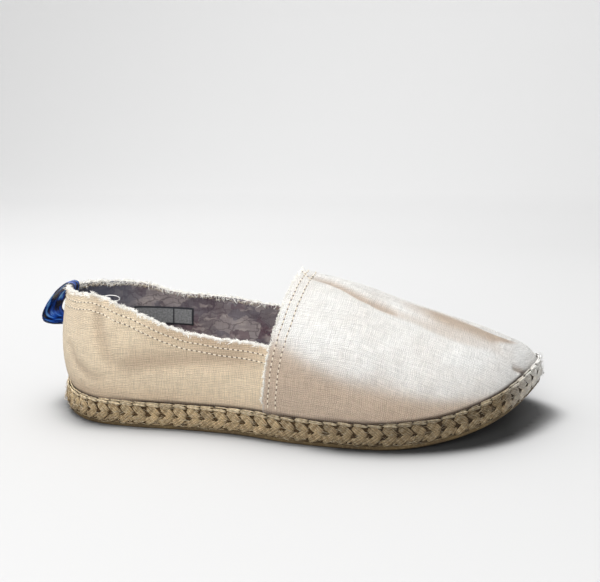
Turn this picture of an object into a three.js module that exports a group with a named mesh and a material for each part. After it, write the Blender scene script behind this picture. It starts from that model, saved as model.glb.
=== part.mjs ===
// A canvas slip-on espadrille for the right foot, standing empty on its sole.
// Millimetres. X runs from heel to toe, Y to the inner side of the foot and Z up from the floor.
// Every piece is worked out from one last: an outline, a ridge along its top and the wall between.

import * as THREE from 'three';
import { mergeVertices } from 'three/addons/utils/BufferGeometryUtils.js';

// Driving dimensions of the last
const soleLength = 265;
const ballWidth = 100.9;
const instepHeight = 69; // throat of the vamp over the upper's lower edge
const heelHeight = 56; // back of the collar over the upper's lower edge
const ridgeHeelInset = 28; // start of the last's top ridge, in front of the heel tip
const ridgeToeInset = 20; // end of the ridge, behind the toe tip
const heelSwell = 3.6; // how far the heel wall swells out over its lower edge

// Driving dimensions of the sole
const soleHeight = 13.7; // floor to the top of the braid at the heel
const soleTaper = 0.7; // what the sole loses in height by the toe
const toeSpring = 19.4;
const toeSpringStart = 0.66; // share of the length
const heelSpring = 1.3;
const heelSpringEnd = 0.12; // share of the length
const waistLift = 0.6; // clearance of the waist between the heel's and the forefoot's flat spots
const waistStart = 0.3; // share of the length
const waistEnd = 0.56; // share of the length
const rubberThickness = 2.2;
const rubberInset = 1.5; // rubber behind the braid's outline
const rubberEdge = 0.8; // rounding of the rubber's lower edge
const lipHeight = 4.1; // braid standing over the deck that the upper is sewn on
const lipEase = 0.2; // drop of the lip from its outer to its inner edge
const braidLean = 1.3; // how far the braid leans in from bottom to top
const braidRelief = 1.3; // depth of the grooves between strands
const strandPitch = 7.25; // along the outline
const strandSlant = 4.2; // how far a strand leans towards the next one

// Driving dimensions of the upper and what it carries
const wall = 1.6; // canvas and lining together
const vampOverlay = 0.9; // the vamp lies on the quarters with a step of this height
const featherInset = 3.7; // upper's lower edge inside the braid's outline
const vampFoot = 0.462; // where the vamp's rear edge meets the sole, as a share of the length
const vampThroat = 0.505; // where that edge crosses the ridge, as a share of the ridge
const insoleThickness = 3;
const insoleClearance = 0.6;
const fitGap = 0.3; // between pieces that meet
const lipClearance = 0.5; // between the braid's lip and the upper inside it
const tabWidth = 12;
const tabThickness = 1;
const labelThickness = 0.6;
const labelGap = 0.5; // between the label and the lining that it is sewn to
const labelRear = 0.125; // share of the length
const labelFront = 0.27; // share of the length
const labelLow = 28; // over the upper's lower edge
const labelHigh = 39; // over the upper's lower edge

// Fineness of the facets
const quarterSteps = 20;
const vampSteps = 20;
const collarRows = 5;
const crownRows = 7;
const rubberSteps = 108;
const insoleSteps = 84;
const tabSteps = 22;
const tabColumns = 4;

// Outline of the sole, with the half widths as shares of the ball width
const outlineRows = [
  { at: 0, lateral: 0, medial: 0 },
  { at: 0.02, lateral: 0.154, medial: 0.153 },
  { at: 0.05, lateral: 0.252, medial: 0.25 },
  { at: 0.1, lateral: 0.339, medial: 0.332 },
  { at: 0.2, lateral: 0.384, medial: 0.37 },
  { at: 0.3, lateral: 0.389, medial: 0.348 },
  { at: 0.4, lateral: 0.418, medial: 0.321 },
  { at: 0.5, lateral: 0.472, medial: 0.34 },
  { at: 0.6, lateral: 0.498, medial: 0.403 },
  { at: 0.7, lateral: 0.499, medial: 0.486 },
  { at: 0.8, lateral: 0.433, medial: 0.498 },
  { at: 0.9, lateral: 0.277, medial: 0.429 },
  { at: 0.95, lateral: 0.124, medial: 0.355 },
  { at: 0.98, lateral: -0.008, medial: 0.276 },
  { at: 1, lateral: -0.15, medial: 0.15 },
];

// The last over the outline: height of its ridge as a share of the instep height, how square its
// wall is (2 is an ellipse), and how much of the heel's swell the wall still has
const lastRows = [
  { at: 0, crown: 1.24, squareness: 3, swell: 1 },
  { at: 0.1, crown: 1.23, squareness: 3, swell: 0.7 },
  { at: 0.2, crown: 1.21, squareness: 2.9, swell: 0.4 },
  { at: 0.3, crown: 1.17, squareness: 2.8, swell: 0.35 },
  { at: 0.4, crown: 1.1, squareness: 2.7, swell: 0.35 },
  { at: 0.52, crown: 1, squareness: 2.5, swell: 0.4 },
  { at: 0.63, crown: 0.884, squareness: 2.3, swell: 0.4 },
  { at: 0.7, crown: 0.768, squareness: 2.1, swell: 0.35 },
  { at: 0.79, crown: 0.607, squareness: 1.9, swell: 0.25 },
  { at: 0.85, crown: 0.48, squareness: 1.7, swell: 0.15 },
  { at: 0.925, crown: 0.272, squareness: 1.5, swell: 0.05 },
  { at: 1, crown: 0.05, squareness: 1.35, swell: 0 },
];

// Top edge of the quarters over the upper's lower edge, as shares of the heel height
const collarTable = [
  { at: 0, lateral: 1, medial: 1 },
  { at: 0.05, lateral: 1.02, medial: 0.99 },
  { at: 0.09, lateral: 1.035, medial: 0.985 },
  { at: 0.13, lateral: 1.015, medial: 0.96 },
  { at: 0.19, lateral: 0.93, medial: 0.88 },
  { at: 0.25, lateral: 0.82, medial: 0.85 },
  { at: 0.32, lateral: 0.72, medial: 0.845 },
  { at: 0.4, lateral: 0.675, medial: 0.79 },
  { at: 0.47, lateral: 0.67, medial: 0.735 },
  { at: 0.52, lateral: 0.67, medial: 0.72 },
];

// Side of the braid from its lower to its upper edge: height as a share, how deep the row lies and
// how deep its grooves are as shares of the relief, and its share of the strands' slant
const braidRows = [
  { up: 0, sunk: 0.7, groove: 0.2, lead: 0 },
  { up: 0.09, sunk: 0.2, groove: 0.7, lead: 0.2 },
  { up: 0.28, sunk: 0, groove: 1, lead: 0.6 },
  { up: 0.48, sunk: 0.45, groove: 0.5, lead: 1 },
  { up: 0.68, sunk: 0, groove: 1, lead: 0.55 },
  { up: 0.85, sunk: 0.35, groove: 0.45, lead: 0.15 },
  { up: 0.93, sunk: 0, groove: 0.25, lead: 0 },
  { up: 1, sunk: 0.25, groove: 0.1, lead: 0 },
];
const strandColumns = [
  { along: 0, groove: 1 },
  { along: 0.28, groove: 0 },
  { along: 0.72, groove: 0 },
];

// Ribbon loop at the heel: height over the collar's edge and distance behind the wall there
const tabRows = [
  { up: -8, out: -3.5 },
  { up: -2, out: -3.5 },
  { up: 0.8, out: -2.9 },
  { up: 1.7, out: -1 },
  { up: 1.4, out: 1.4 },
  { up: -3, out: 6 },
  { up: -9, out: 9.3 },
  { up: -14.5, out: 11.3 },
  { up: -18, out: 10.3 },
  { up: -19.7, out: 6.5 },
  { up: -20, out: 0.8 },
];

// Shares along the length, and the turn that runs from 0 at the heel tip to pi at the toe tip
function turnOf(share) {
  return Math.acos(THREE.MathUtils.clamp(1 - 2 * share, -1, 1));
}

function shareOf(turn) {
  return (1 - Math.cos(turn)) / 2;
}

function lengthAt(share) {
  return (share - 0.5) * soleLength;
}

// A column of a table as a smooth function of the turn: a cubic through the rows
function smoothColumn(rows, name) {
  const turns = rows.map((row) => turnOf(row.at));
  const values = rows.map((row) => row[name]);
  const last = rows.length - 1;
  const rate = (i) => (values[i + 1] - values[i]) / (turns[i + 1] - turns[i]);
  const slopes = values.map((value, i) => {
    if (i === 0) return rate(0);
    if (i === last) return rate(last - 1);
    const before = turns[i] - turns[i - 1];
    const after = turns[i + 1] - turns[i];
    return (rate(i - 1) * after + rate(i) * before) / (before + after);
  });
  return (turn) => {
    let i = 0;
    while (i < last - 1 && turn > turns[i + 1]) i += 1;
    const span = turns[i + 1] - turns[i];
    const t = THREE.MathUtils.clamp((turn - turns[i]) / span, 0, 1);
    const u = 1 - t;
    return (
      u * u * (1 + 2 * t) * values[i] +
      t * t * (1 + 2 * u) * values[i + 1] +
      t * u * span * (u * slopes[i] - t * slopes[i + 1])
    );
  };
}

const outline = {
  lateral: smoothColumn(outlineRows, 'lateral'),
  medial: smoothColumn(outlineRows, 'medial'),
};
const crown = smoothColumn(lastRows, 'crown');
const squareness = smoothColumn(lastRows, 'squareness');
const swell = smoothColumn(lastRows, 'swell');
const collar = {
  lateral: smoothColumn(collarTable, 'lateral'),
  medial: smoothColumn(collarTable, 'medial'),
};

// The sole's heights at a share of the length
function underside(share) {
  const heel = Math.max(0, (heelSpringEnd - share) / heelSpringEnd);
  const toe = Math.max(0, (share - toeSpringStart) / (1 - toeSpringStart));
  const waist = THREE.MathUtils.clamp((share - waistStart) / (waistEnd - waistStart), 0, 1);
  return heelSpring * heel ** 2 + toeSpring * toe ** 2 + waistLift * Math.sin(Math.PI * waist) ** 2;
}

function braidTop(share) {
  return underside(share) + soleHeight - soleTaper * share;
}

function deck(share) {
  return braidTop(share) - lipHeight;
}

function shareAtLength(x) {
  return THREE.MathUtils.clamp(x / soleLength + 0.5, 0, 1);
}

// A point of the outline. around runs from -pi at the toe over the lateral side, 0 at the heel and
// the medial side back to pi at the toe.
function wrap(around) {
  if (around > Math.PI) return around - 2 * Math.PI;
  if (around < -Math.PI) return around + 2 * Math.PI;
  return around;
}

function outlinePoint(around) {
  const place = wrap(around);
  const turn = Math.abs(place);
  const side = place < 0 ? -outline.lateral(turn) : outline.medial(turn);
  return new THREE.Vector2(lengthAt(shareOf(turn)), ballWidth * side);
}

function insetPoint(around, inset) {
  const step = 0.004;
  const along = outlinePoint(around + step).sub(outlinePoint(around - step)).normalize();
  return outlinePoint(around).add(new THREE.Vector2(along.y, -along.x).multiplyScalar(inset));
}

// The ridge along the top of the last, over the middle of the outline
const ridgeStart = -soleLength / 2 + ridgeHeelInset;
const ridgeEnd = soleLength / 2 - ridgeToeInset;

function ridgePoint(turn) {
  const x = THREE.MathUtils.lerp(ridgeStart, ridgeEnd, shareOf(turn));
  const share = shareAtLength(x);
  const there = turnOf(share);
  const y = (ballWidth * (outline.medial(there) - outline.lateral(there))) / 2;
  return new THREE.Vector3(x, y, deck(share) + fitGap + instepHeight * crown(there));
}

// A point of the last. climb runs from 0 at the lower edge to half pi at the ridge, and past the
// ridge it comes down on the other side.
function lastPoint(around, climb) {
  if (climb > Math.PI / 2) return lastPoint(-around, Math.PI - climb);
  const place = wrap(around);
  const turn = Math.abs(place);
  const foot = insetPoint(place, featherInset);
  const ridge = ridgePoint(turn);
  const footHeight = deck(shareAtLength(foot.x)) + fitGap;
  const rise = Math.sin(Math.max(0, climb)) ** (2 / squareness(turn));
  const reach = Math.cos(climb);
  const out = new THREE.Vector2(foot.x - ridge.x, foot.y - ridge.y);
  const length = out.length() * reach + heelSwell * swell(turn) * swellAt(rise);
  out.setLength(length);
  const height = THREE.MathUtils.lerp(footHeight, ridge.z, rise);
  return new THREE.Vector3(ridge.x + out.x, ridge.y + out.y, height);
}

// The swell starts over the braid's lip, is widest low down and is gone at the ridge
function swellAt(rise) {
  const lip = lipHeight / instepHeight;
  const over = THREE.MathUtils.clamp((rise - lip) / (1 - lip), 0, 1);
  return Math.sin(Math.PI * over ** 0.6);
}

function climbAt(turn, height) {
  const foot = deck(shareOf(turn)) + fitGap;
  const rise = THREE.MathUtils.clamp(height / (ridgePoint(turn).z - foot), 0, 1);
  return Math.asin(rise ** (squareness(turn) / 2));
}

function outward(around, climb) {
  const step = 0.01;
  const low = Math.max(0, climb - step);
  const up = lastPoint(around, climb + step).sub(lastPoint(around, low));
  const along = lastPoint(around + step, climb).sub(lastPoint(around - step, climb));
  const normal = up.cross(along);
  if (normal.length() < 1e-4) return outward(around, climb - 10 * step);
  return normal.normalize();
}

// A point at a distance outside the last. The lower edge stays on the deck.
function skinPoint(around, climb, offset) {
  const point = lastPoint(around, climb);
  const moved = point.clone().addScaledVector(outward(around, climb), offset);
  if (climb === 0) moved.z = deck(shareAtLength(moved.x)) + fitGap;
  return moved;
}

// Closed surfaces are collected as triangles, and their shared corners are merged at the end
class Surface {
  constructor() {
    this.corners = [];
  }

  triangle(a, b, c) {
    const same = (p, q) => p.distanceTo(q) < 1e-4;
    if (same(a, b) || same(b, c) || same(c, a)) return;
    for (const corner of [a, b, c]) this.corners.push(corner.x, corner.y, corner.z);
  }

  quad(a, b, c, d) {
    this.triangle(a, b, c);
    this.triangle(a, c, d);
  }

  // The side between two closed rings, the second one over the first
  band(lower, upper) {
    lower.forEach((point, i) => {
      const next = (i + 1) % lower.length;
      this.quad(point, lower[next], upper[next], upper[i]);
    });
  }

  // A flat or curved floor inside a ring: triangles between its two long sides
  cap(ring, facesUp) {
    const count = ring.length;
    let rear = 0;
    let front = 0;
    ring.forEach((point, i) => {
      if (point.x < ring[rear].x) rear = i;
      if (point.x > ring[front].x) front = i;
    });
    const chain = (step) => {
      const points = [ring[rear]];
      for (let i = rear; i !== front; ) {
        i = (i + step + count) % count;
        points.push(ring[i]);
      }
      return points;
    };
    const first = chain(1);
    const second = chain(-1);
    let i = 0;
    let j = 0;
    while (i < first.length - 1 || j < second.length - 1) {
      const nextFirst = i < first.length - 1 ? first[i + 1].x : Infinity;
      const nextSecond = j < second.length - 1 ? second[j + 1].x : Infinity;
      const advanceFirst = nextFirst < nextSecond;
      const tip = advanceFirst ? first[i + 1] : second[j + 1];
      if (facesUp) this.triangle(first[i], tip, second[j]);
      else this.triangle(first[i], second[j], tip);
      if (advanceFirst) i += 1;
      else j += 1;
    }
  }

  geometry() {
    const geometry = new THREE.BufferGeometry();
    geometry.setAttribute('position', new THREE.Float32BufferAttribute(this.corners, 3));
    const merged = mergeVertices(geometry, 1e-4);
    merged.computeVertexNormals();
    return merged;
  }
}

// Places round the sole by distance along the outline: heel, lateral side, toe, medial side
const walkSteps = 720;
const walk = [{ distance: 0, around: 0 }];
for (let i = 1; i <= walkSteps; i += 1) {
  const around = (-2 * Math.PI * i) / walkSteps;
  const before = walk[i - 1];
  const length = outlinePoint(wrap(around)).distanceTo(outlinePoint(wrap(before.around)));
  walk.push({ distance: before.distance + length, around });
}
const perimeter = walk[walkSteps].distance;

function aroundAt(distance) {
  const place = ((distance % perimeter) + perimeter) % perimeter;
  let i = 1;
  while (walk[i].distance < place) i += 1;
  const share = (place - walk[i - 1].distance) / (walk[i].distance - walk[i - 1].distance);
  return wrap(THREE.MathUtils.lerp(walk[i - 1].around, walk[i].around, share));
}

// A ring round the sole from a list of distances, an inset and a height over the length
function soleRing(distances, insetOf, heightOf) {
  return distances.map((distance, i) => {
    const around = aroundAt(distance);
    const point = insetPoint(around, insetOf(i, Math.abs(around)));
    return new THREE.Vector3(point.x, point.y, heightOf(shareAtLength(point.x)));
  });
}

function evenDistances(count) {
  return Array.from({ length: count }, (item, i) => (perimeter * i) / count);
}

// Rubber outsole: a thin gum sole with a rounded lower edge
function outsole() {
  const places = evenDistances(rubberSteps);
  const bottom = soleRing(places, () => rubberInset + rubberEdge, underside);
  const edge = soleRing(places, () => rubberInset, (share) => underside(share) + rubberEdge);
  const top = soleRing(places, () => rubberInset, (share) => underside(share) + rubberThickness);
  const surface = new Surface();
  surface.cap(bottom, false);
  surface.band(bottom, edge);
  surface.band(edge, top);
  surface.cap(top, true);
  return surface.geometry();
}

// Jute sole: a flat coil of braid whose outermost turn shows its plaited strands, with a lip round
// the deck that the upper is sewn on
function juteSole() {
  const strands = Math.round(perimeter / strandPitch);
  const pitch = perimeter / strands;
  const columns = [];
  for (let strand = 0; strand < strands; strand += 1) {
    for (const part of strandColumns) {
      columns.push({ distance: pitch * (strand + part.along), groove: part.groove });
    }
  }
  const bottomOf = (share) => underside(share) + rubberThickness + fitGap;
  const rings = braidRows.map((row) =>
    soleRing(
      columns.map((item) => item.distance + strandSlant * row.lead),
      (i) => braidLean * row.up + braidRelief * (row.sunk + row.groove * columns[i].groove),
      (share) => THREE.MathUtils.lerp(bottomOf(share), braidTop(share), row.up),
    ),
  );
  const places = columns.map((item) => item.distance);
  const lipInset = (i, turn) => {
    const vampRoom = turn > turnOf(vampFoot) - 0.05 ? vampOverlay : 0;
    return featherInset - lipClearance - vampRoom;
  };
  const lip = soleRing(places, lipInset, (share) => braidTop(share) - lipEase);
  const well = soleRing(places, lipInset, deck);
  const surface = new Surface();
  surface.cap(rings[0], false);
  for (let i = 1; i < rings.length; i += 1) surface.band(rings[i - 1], rings[i]);
  surface.band(rings[rings.length - 1], lip);
  surface.band(lip, well);
  surface.cap(well, true);
  return surface.geometry();
}

// The vamp's rear edge leans forward from the sole to the throat
function vampEdge(climb) {
  const lean = Math.sin(climb) ** 1.5;
  return turnOf(THREE.MathUtils.lerp(vampFoot, vampThroat, lean));
}

function collarClimb(turn, side) {
  return climbAt(turn, heelHeight * collar[side](turn));
}

// Where the collar's edge meets the vamp, found by a few rounds because the vamp's edge leans
function cornerClimb(side) {
  let climb = 0;
  for (let round = 0; round < 8; round += 1) climb = collarClimb(vampEdge(climb), side);
  return climb;
}

// Upper: two quarters and a vamp sewn into one hollow piece, open at the collar and underneath.
// Its outer and inner skins share one grid of steps along the shoe and rows up the wall.
function upper() {
  const sides = [
    { name: 'lateral', sign: -1, corner: cornerClimb('lateral') },
    { name: 'medial', sign: 1, corner: cornerClimb('medial') },
  ];
  // The first row of the wall ends level with the braid's lip, and the others are even over it
  const rowClimb = (turn, row, rows, top) => {
    if (row === 0) return 0;
    return THREE.MathUtils.lerp(climbAt(turn, lipHeight), top, (row - 1) / (rows - 1));
  };
  const quarterPoint = (side, step, row, offset) => {
    const share = step / quarterSteps;
    const turn = share * vampEdge(0);
    const top = collarClimb(share * vampEdge(side.corner), side.name);
    const edge = THREE.MathUtils.lerp(top, side.corner, share ** 6);
    const climb = rowClimb(turn, row, collarRows, edge);
    return skinPoint(side.sign * share * vampEdge(climb), climb, offset);
  };
  const vampPoint = (side, step, row, offset) => {
    const share = step / vampSteps;
    const turn = THREE.MathUtils.lerp(vampEdge(0), Math.PI, share);
    const even = rowClimb(turn, row, collarRows + crownRows, Math.PI / 2);
    const overCorner = (row - collarRows) / crownRows;
    const atEdge =
      row <= collarRows
        ? rowClimb(turn, row, collarRows, side.corner)
        : THREE.MathUtils.lerp(side.corner, Math.PI / 2, overCorner);
    const climb = THREE.MathUtils.lerp(atEdge, even, share);
    const leant = THREE.MathUtils.lerp(vampEdge(climb), Math.PI, share);
    return skinPoint(side.sign * leant, climb, offset);
  };
  const surface = new Surface();
  const topRow = collarRows + crownRows;
  for (const side of sides) {
    const quad = (a, b, c, d) => {
      if (side.sign < 0) surface.quad(a, b, c, d);
      else surface.quad(d, c, b, a);
    };
    // A strip of wall between two steps: both skins, with the lower edge closed
    const strip = (pointAt, step, rows, outer) => {
      for (let row = 0; row < rows; row += 1) {
        const skin = (s, r, offset) => pointAt(side, s, r, offset);
        quad(
          skin(step, row, outer),
          skin(step + 1, row, outer),
          skin(step + 1, row + 1, outer),
          skin(step, row + 1, outer),
        );
        quad(
          skin(step, row + 1, -wall),
          skin(step + 1, row + 1, -wall),
          skin(step + 1, row, -wall),
          skin(step, row, -wall),
        );
      }
      quad(
        pointAt(side, step, 0, -wall),
        pointAt(side, step + 1, 0, -wall),
        pointAt(side, step + 1, 0, outer),
        pointAt(side, step, 0, outer),
      );
    };
    for (let step = 0; step < quarterSteps; step += 1) {
      strip(quarterPoint, step, collarRows, 0);
      quad(
        quarterPoint(side, step, collarRows, 0),
        quarterPoint(side, step + 1, collarRows, 0),
        quarterPoint(side, step + 1, collarRows, -wall),
        quarterPoint(side, step, collarRows, -wall),
      );
    }
    for (let step = 0; step < vampSteps; step += 1) strip(vampPoint, step, topRow, vampOverlay);
    // The vamp's rear edge: a step on the quarter, then the throat's rim
    for (let row = 0; row < topRow; row += 1) {
      const onQuarter = row < collarRows;
      const inner = onQuarter ? 0 : -wall;
      quad(
        vampPoint(side, 0, row, inner),
        vampPoint(side, 0, row, vampOverlay),
        vampPoint(side, 0, row + 1, vampOverlay),
        vampPoint(side, 0, row + 1, inner),
      );
    }
    const ends = [vampOverlay, 0, -wall];
    const corners = ends.map((offset) => vampPoint(side, 0, collarRows, offset));
    const bottom = ends.map((offset) => vampPoint(side, 0, 0, offset));
    quad(corners[2], corners[1], corners[0], corners[0]);
    quad(bottom[0], bottom[1], bottom[2], bottom[2]);
  }
  return surface.geometry();
}

// Insole: a soft layer on the deck, clear of the upper's inner skin at its lower and upper edge
function insole() {
  const offset = -(wall + insoleClearance);
  const places = evenDistances(insoleSteps).map(aroundAt);
  const ring = (height) =>
    places.map((around) => {
      const climb = height > 0 ? climbAt(Math.abs(around), height) : 0;
      const point = skinPoint(around, climb, offset);
      point.z = deck(shareAtLength(point.x)) + fitGap + height;
      return point;
    });
  const surface = new Surface();
  const bottom = ring(0);
  const top = ring(insoleThickness);
  surface.cap(bottom, false);
  surface.band(bottom, top);
  surface.cap(top, true);
  return surface.geometry();
}

// Pull tab: a ribbon folded over the collar at the heel, out into a loop and back to the wall
function pullTab() {
  const edgeClimb = collarClimb(0, 'medial');
  const collarHeight = lastPoint(0, edgeClimb).z;
  const footHeight = deck(0) + fitGap;
  const wallBack = (height) => {
    const climb = Math.min(edgeClimb, climbAt(0, height - footHeight));
    return lastPoint(0, climb).x;
  };
  const points = tabRows.map((row) => {
    const height = collarHeight + row.up;
    return new THREE.Vector3(wallBack(height) - row.out, height, 0);
  });
  const centre = new THREE.CatmullRomCurve3(points, false, 'centripetal').getPoints(tabSteps);
  const edge = (side) =>
    centre.map((point, i) => {
      const before = centre[Math.max(0, i - 1)];
      const after = centre[Math.min(centre.length - 1, i + 1)];
      const along = after.clone().sub(before).normalize();
      const shift = (side * tabThickness) / 2;
      return new THREE.Vector2(point.x - along.y * shift, point.y + along.x * shift);
    });
  // The ribbon is bowed across its width like the heel that it lies on
  let around = 0;
  while (lastPoint(around, edgeClimb).y < tabWidth / 2) around += 0.01;
  const bow = lastPoint(around, edgeClimb).x - lastPoint(0, edgeClimb).x;
  const section = (across) => {
    const place = (point) =>
      new THREE.Vector3(point.x + bow * across ** 2, (across * tabWidth) / 2, point.y);
    return { outer: edge(1).map(place), inner: edge(-1).map(place) };
  };
  const surface = new Surface();
  const sections = Array.from({ length: tabColumns + 1 }, (item, i) => section((2 * i) / tabColumns - 1));
  const loop = (part) => [...part.outer, ...part.inner.slice().reverse()];
  for (let i = 1; i < sections.length; i += 1) surface.band(loop(sections[i - 1]), loop(sections[i]));
  const ends = [sections[0], sections[tabColumns]];
  ends.forEach((part, side) => {
    for (let i = 1; i < part.outer.length; i += 1) {
      const corners = [part.outer[i - 1], part.outer[i], part.inner[i], part.inner[i - 1]];
      surface.quad(...(side === 0 ? corners.reverse() : corners));
    }
  });
  return surface.geometry();
}

// Size label: a thin bare patch on the lining of the medial quarter
function sizeLabel() {
  const columns = 8;
  const rows = 2;
  const near = -(wall + labelGap);
  const far = near - labelThickness;
  const at = (column, row, offset) => {
    const share = THREE.MathUtils.lerp(labelRear, labelFront, column / columns);
    const height = THREE.MathUtils.lerp(labelLow, labelHigh, row / rows);
    const turn = turnOf(share);
    return skinPoint(turn, climbAt(turn, height), offset);
  };
  const surface = new Surface();
  for (let column = 0; column < columns; column += 1) {
    for (let row = 0; row < rows; row += 1) {
      const patch = (offset) => [
        at(column, row, offset),
        at(column + 1, row, offset),
        at(column + 1, row + 1, offset),
        at(column, row + 1, offset),
      ];
      surface.quad(...patch(near).reverse());
      surface.quad(...patch(far));
    }
  }
  const edge = [];
  for (let column = 0; column < columns; column += 1) edge.push([column, 0]);
  for (let row = 0; row < rows; row += 1) edge.push([columns, row]);
  for (let column = columns; column > 0; column -= 1) edge.push([column, rows]);
  for (let row = rows; row > 0; row -= 1) edge.push([0, row]);
  const ring = (offset) => edge.map(([column, row]) => at(column, row, offset));
  surface.band(ring(near), ring(far));
  return surface.geometry();
}

function piece(name, geometry, color, roughness, metalness) {
  const material = new THREE.MeshStandardMaterial({ color, roughness, metalness });
  const mesh = new THREE.Mesh(geometry, material);
  mesh.name = name;
  return mesh;
}

const shoe = new THREE.Group();
shoe.add(piece('outsole', outsole(), 0x8a6f45, 0.7, 0));
shoe.add(piece('jute_sole', juteSole(), 0xb39468, 0.95, 0));
shoe.add(piece('upper', upper(), 0xe6dccb, 0.9, 0));
shoe.add(piece('insole', insole(), 0xa9a2a6, 0.9, 0));
shoe.add(piece('pull_tab', pullTab(), 0x23478f, 0.35, 0));
shoe.add(piece('size_label', sizeLabel(), 0x8d9094, 0.8, 0));

// The origin is under the middle of the whole shoe, on the floor
const box = new THREE.Box3().setFromObject(shoe);
const middle = box.getCenter(new THREE.Vector3());
shoe.position.set(-middle.x, -middle.y, 0);
shoe.updateMatrixWorld(true);

export default shoe;
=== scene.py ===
# %% [markdown]
# # A canvas espadrille
# The shoe stands empty on a pale floor. Its solids are loaded as a fixed frame, and this script
# dresses them: canvas, lining, fraying, stitches, braid and ribbon. All shapes are worked out from
# the same last as the solids, in millimetres, and turned into metres at the very end.

# %% Load the frame
import math
import bpy
import numpy as np
from mathutils import Matrix, Vector


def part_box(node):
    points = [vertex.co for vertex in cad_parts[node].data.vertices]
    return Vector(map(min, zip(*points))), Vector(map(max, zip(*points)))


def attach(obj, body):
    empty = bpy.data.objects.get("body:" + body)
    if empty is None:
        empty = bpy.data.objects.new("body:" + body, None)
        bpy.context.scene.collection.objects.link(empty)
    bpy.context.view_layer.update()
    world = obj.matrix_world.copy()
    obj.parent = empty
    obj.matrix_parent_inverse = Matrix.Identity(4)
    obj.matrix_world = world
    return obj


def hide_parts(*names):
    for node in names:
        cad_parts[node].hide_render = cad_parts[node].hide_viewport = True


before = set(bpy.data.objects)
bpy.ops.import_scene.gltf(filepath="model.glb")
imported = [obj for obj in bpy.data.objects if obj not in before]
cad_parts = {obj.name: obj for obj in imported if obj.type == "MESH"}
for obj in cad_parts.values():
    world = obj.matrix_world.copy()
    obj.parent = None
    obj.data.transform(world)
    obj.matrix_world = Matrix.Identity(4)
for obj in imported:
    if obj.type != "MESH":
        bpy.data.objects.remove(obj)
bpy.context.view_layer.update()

MM = 0.001
print("pieces of the frame:", sorted(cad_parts))

# %% [markdown]
# ## The last
# A shoe is made round a last, a wooden foot. Its outline, the ridge along its top and the fullness
# of its wall are short tables, and a smooth curve runs through each column. Every cloth piece is
# then a patch of this one surface, so seams meet without fitting.

# %% Sizes of the last and the sole, in millimetres
LENGTH, BALL_WIDTH = 265.0, 100.9
INSTEP_HEIGHT, HEEL_HEIGHT, HEEL_SWELL = 69.0, 56.0, 3.6
RIDGE_START, RIDGE_END = -LENGTH / 2 + 28.0, LENGTH / 2 - 20.0
SOLE_HEIGHT, SOLE_TAPER, RUBBER, LIP, GAP = 13.7, 0.7, 2.2, 4.1, 0.3
TOE_SPRING, HEEL_SPRING, WAIST_LIFT = 19.4, 1.3, 0.6
FEATHER_INSET, WALL, OVERLAY, INNER_GAP = 3.7, 1.6, 0.9, 0.6
CANVAS, LINING_CLOTH, RIBBON, LABEL_CLOTH = 0.85, 0.5, 0.5, 0.4
VAMP_FOOT, VAMP_THROAT = 0.462, 0.505
HALF_PI = math.pi / 2

# share of the length, then half widths of the outline as shares of the ball width
OUTLINE = np.array([
    (0, 0, 0), (0.02, 0.154, 0.153), (0.05, 0.252, 0.25), (0.1, 0.339, 0.332),
    (0.2, 0.384, 0.37), (0.3, 0.389, 0.348), (0.4, 0.418, 0.321), (0.5, 0.472, 0.34),
    (0.6, 0.498, 0.403), (0.7, 0.499, 0.486), (0.8, 0.433, 0.498), (0.9, 0.277, 0.429),
    (0.95, 0.124, 0.355), (0.98, -0.008, 0.276), (1, -0.15, 0.15)])
# share of the length, height of the ridge, squareness of the wall, share of the heel's swell
BODY = np.array([
    (0, 1.24, 3, 1), (0.1, 1.23, 3, 0.7), (0.2, 1.21, 2.9, 0.4), (0.3, 1.17, 2.8, 0.35),
    (0.4, 1.1, 2.7, 0.35), (0.52, 1, 2.5, 0.4), (0.63, 0.884, 2.3, 0.4), (0.7, 0.768, 2.1, 0.35),
    (0.79, 0.607, 1.9, 0.25), (0.85, 0.48, 1.7, 0.15), (0.925, 0.272, 1.5, 0.05),
    (1, 0.05, 1.35, 0)])
# share of the length, then the collar's height on the outer and inner side
COLLAR = np.array([
    (0, 1, 1), (0.05, 1.02, 0.99), (0.09, 1.035, 0.985), (0.13, 1.015, 0.96), (0.19, 0.93, 0.88),
    (0.25, 0.82, 0.85), (0.32, 0.72, 0.845), (0.4, 0.675, 0.79), (0.47, 0.67, 0.735),
    (0.52, 0.67, 0.72)])
print("last:", LENGTH, "mm long and", BALL_WIDTH, "mm wide at the ball")


# %% [markdown]
# A table gives a few places only. Each column is read as a smooth curve over an angle that turns
# from 0 at the heel to pi at the toe, so the curves are fine where the outline bends most.

# %% Curves through the tables
def turn_of(share):
    return np.arccos(np.clip(1 - 2 * np.asarray(share, float), -1, 1))


def share_of(turn):
    return (1 - np.cos(turn)) / 2


def column(table, index):
    """A smooth curve through one column, over the turn from heel (0) to toe (pi)."""
    t, v = turn_of(table[:, 0]), table[:, index]
    step = np.diff(t)
    rate = np.diff(v) / step
    inner = (rate[:-1] * step[1:] + rate[1:] * step[:-1]) / (step[:-1] + step[1:])
    slope = np.concatenate([rate[:1], inner, rate[-1:]])

    def at(turn):
        i = np.clip(np.searchsorted(t, turn, side="right") - 1, 0, len(t) - 2)
        span = t[i + 1] - t[i]
        a = np.clip((turn - t[i]) / span, 0, 1)
        b = 1 - a
        return (b * b * (1 + 2 * a) * v[i] + a * a * (1 + 2 * b) * v[i + 1]
                + a * b * span * (b * slope[i] - a * slope[i + 1]))
    return at


lateral_half, medial_half = column(OUTLINE, 1), column(OUTLINE, 2)
crown, squareness, swell = column(BODY, 1), column(BODY, 2), column(BODY, 3)
collar_lateral, collar_medial = column(COLLAR, 1), column(COLLAR, 2)
middle_turn = turn_of(0.5)
print("half widths at mid length, as shares of the ball width:",
      lateral_half(middle_turn).round(3), medial_half(middle_turn).round(3))


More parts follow.
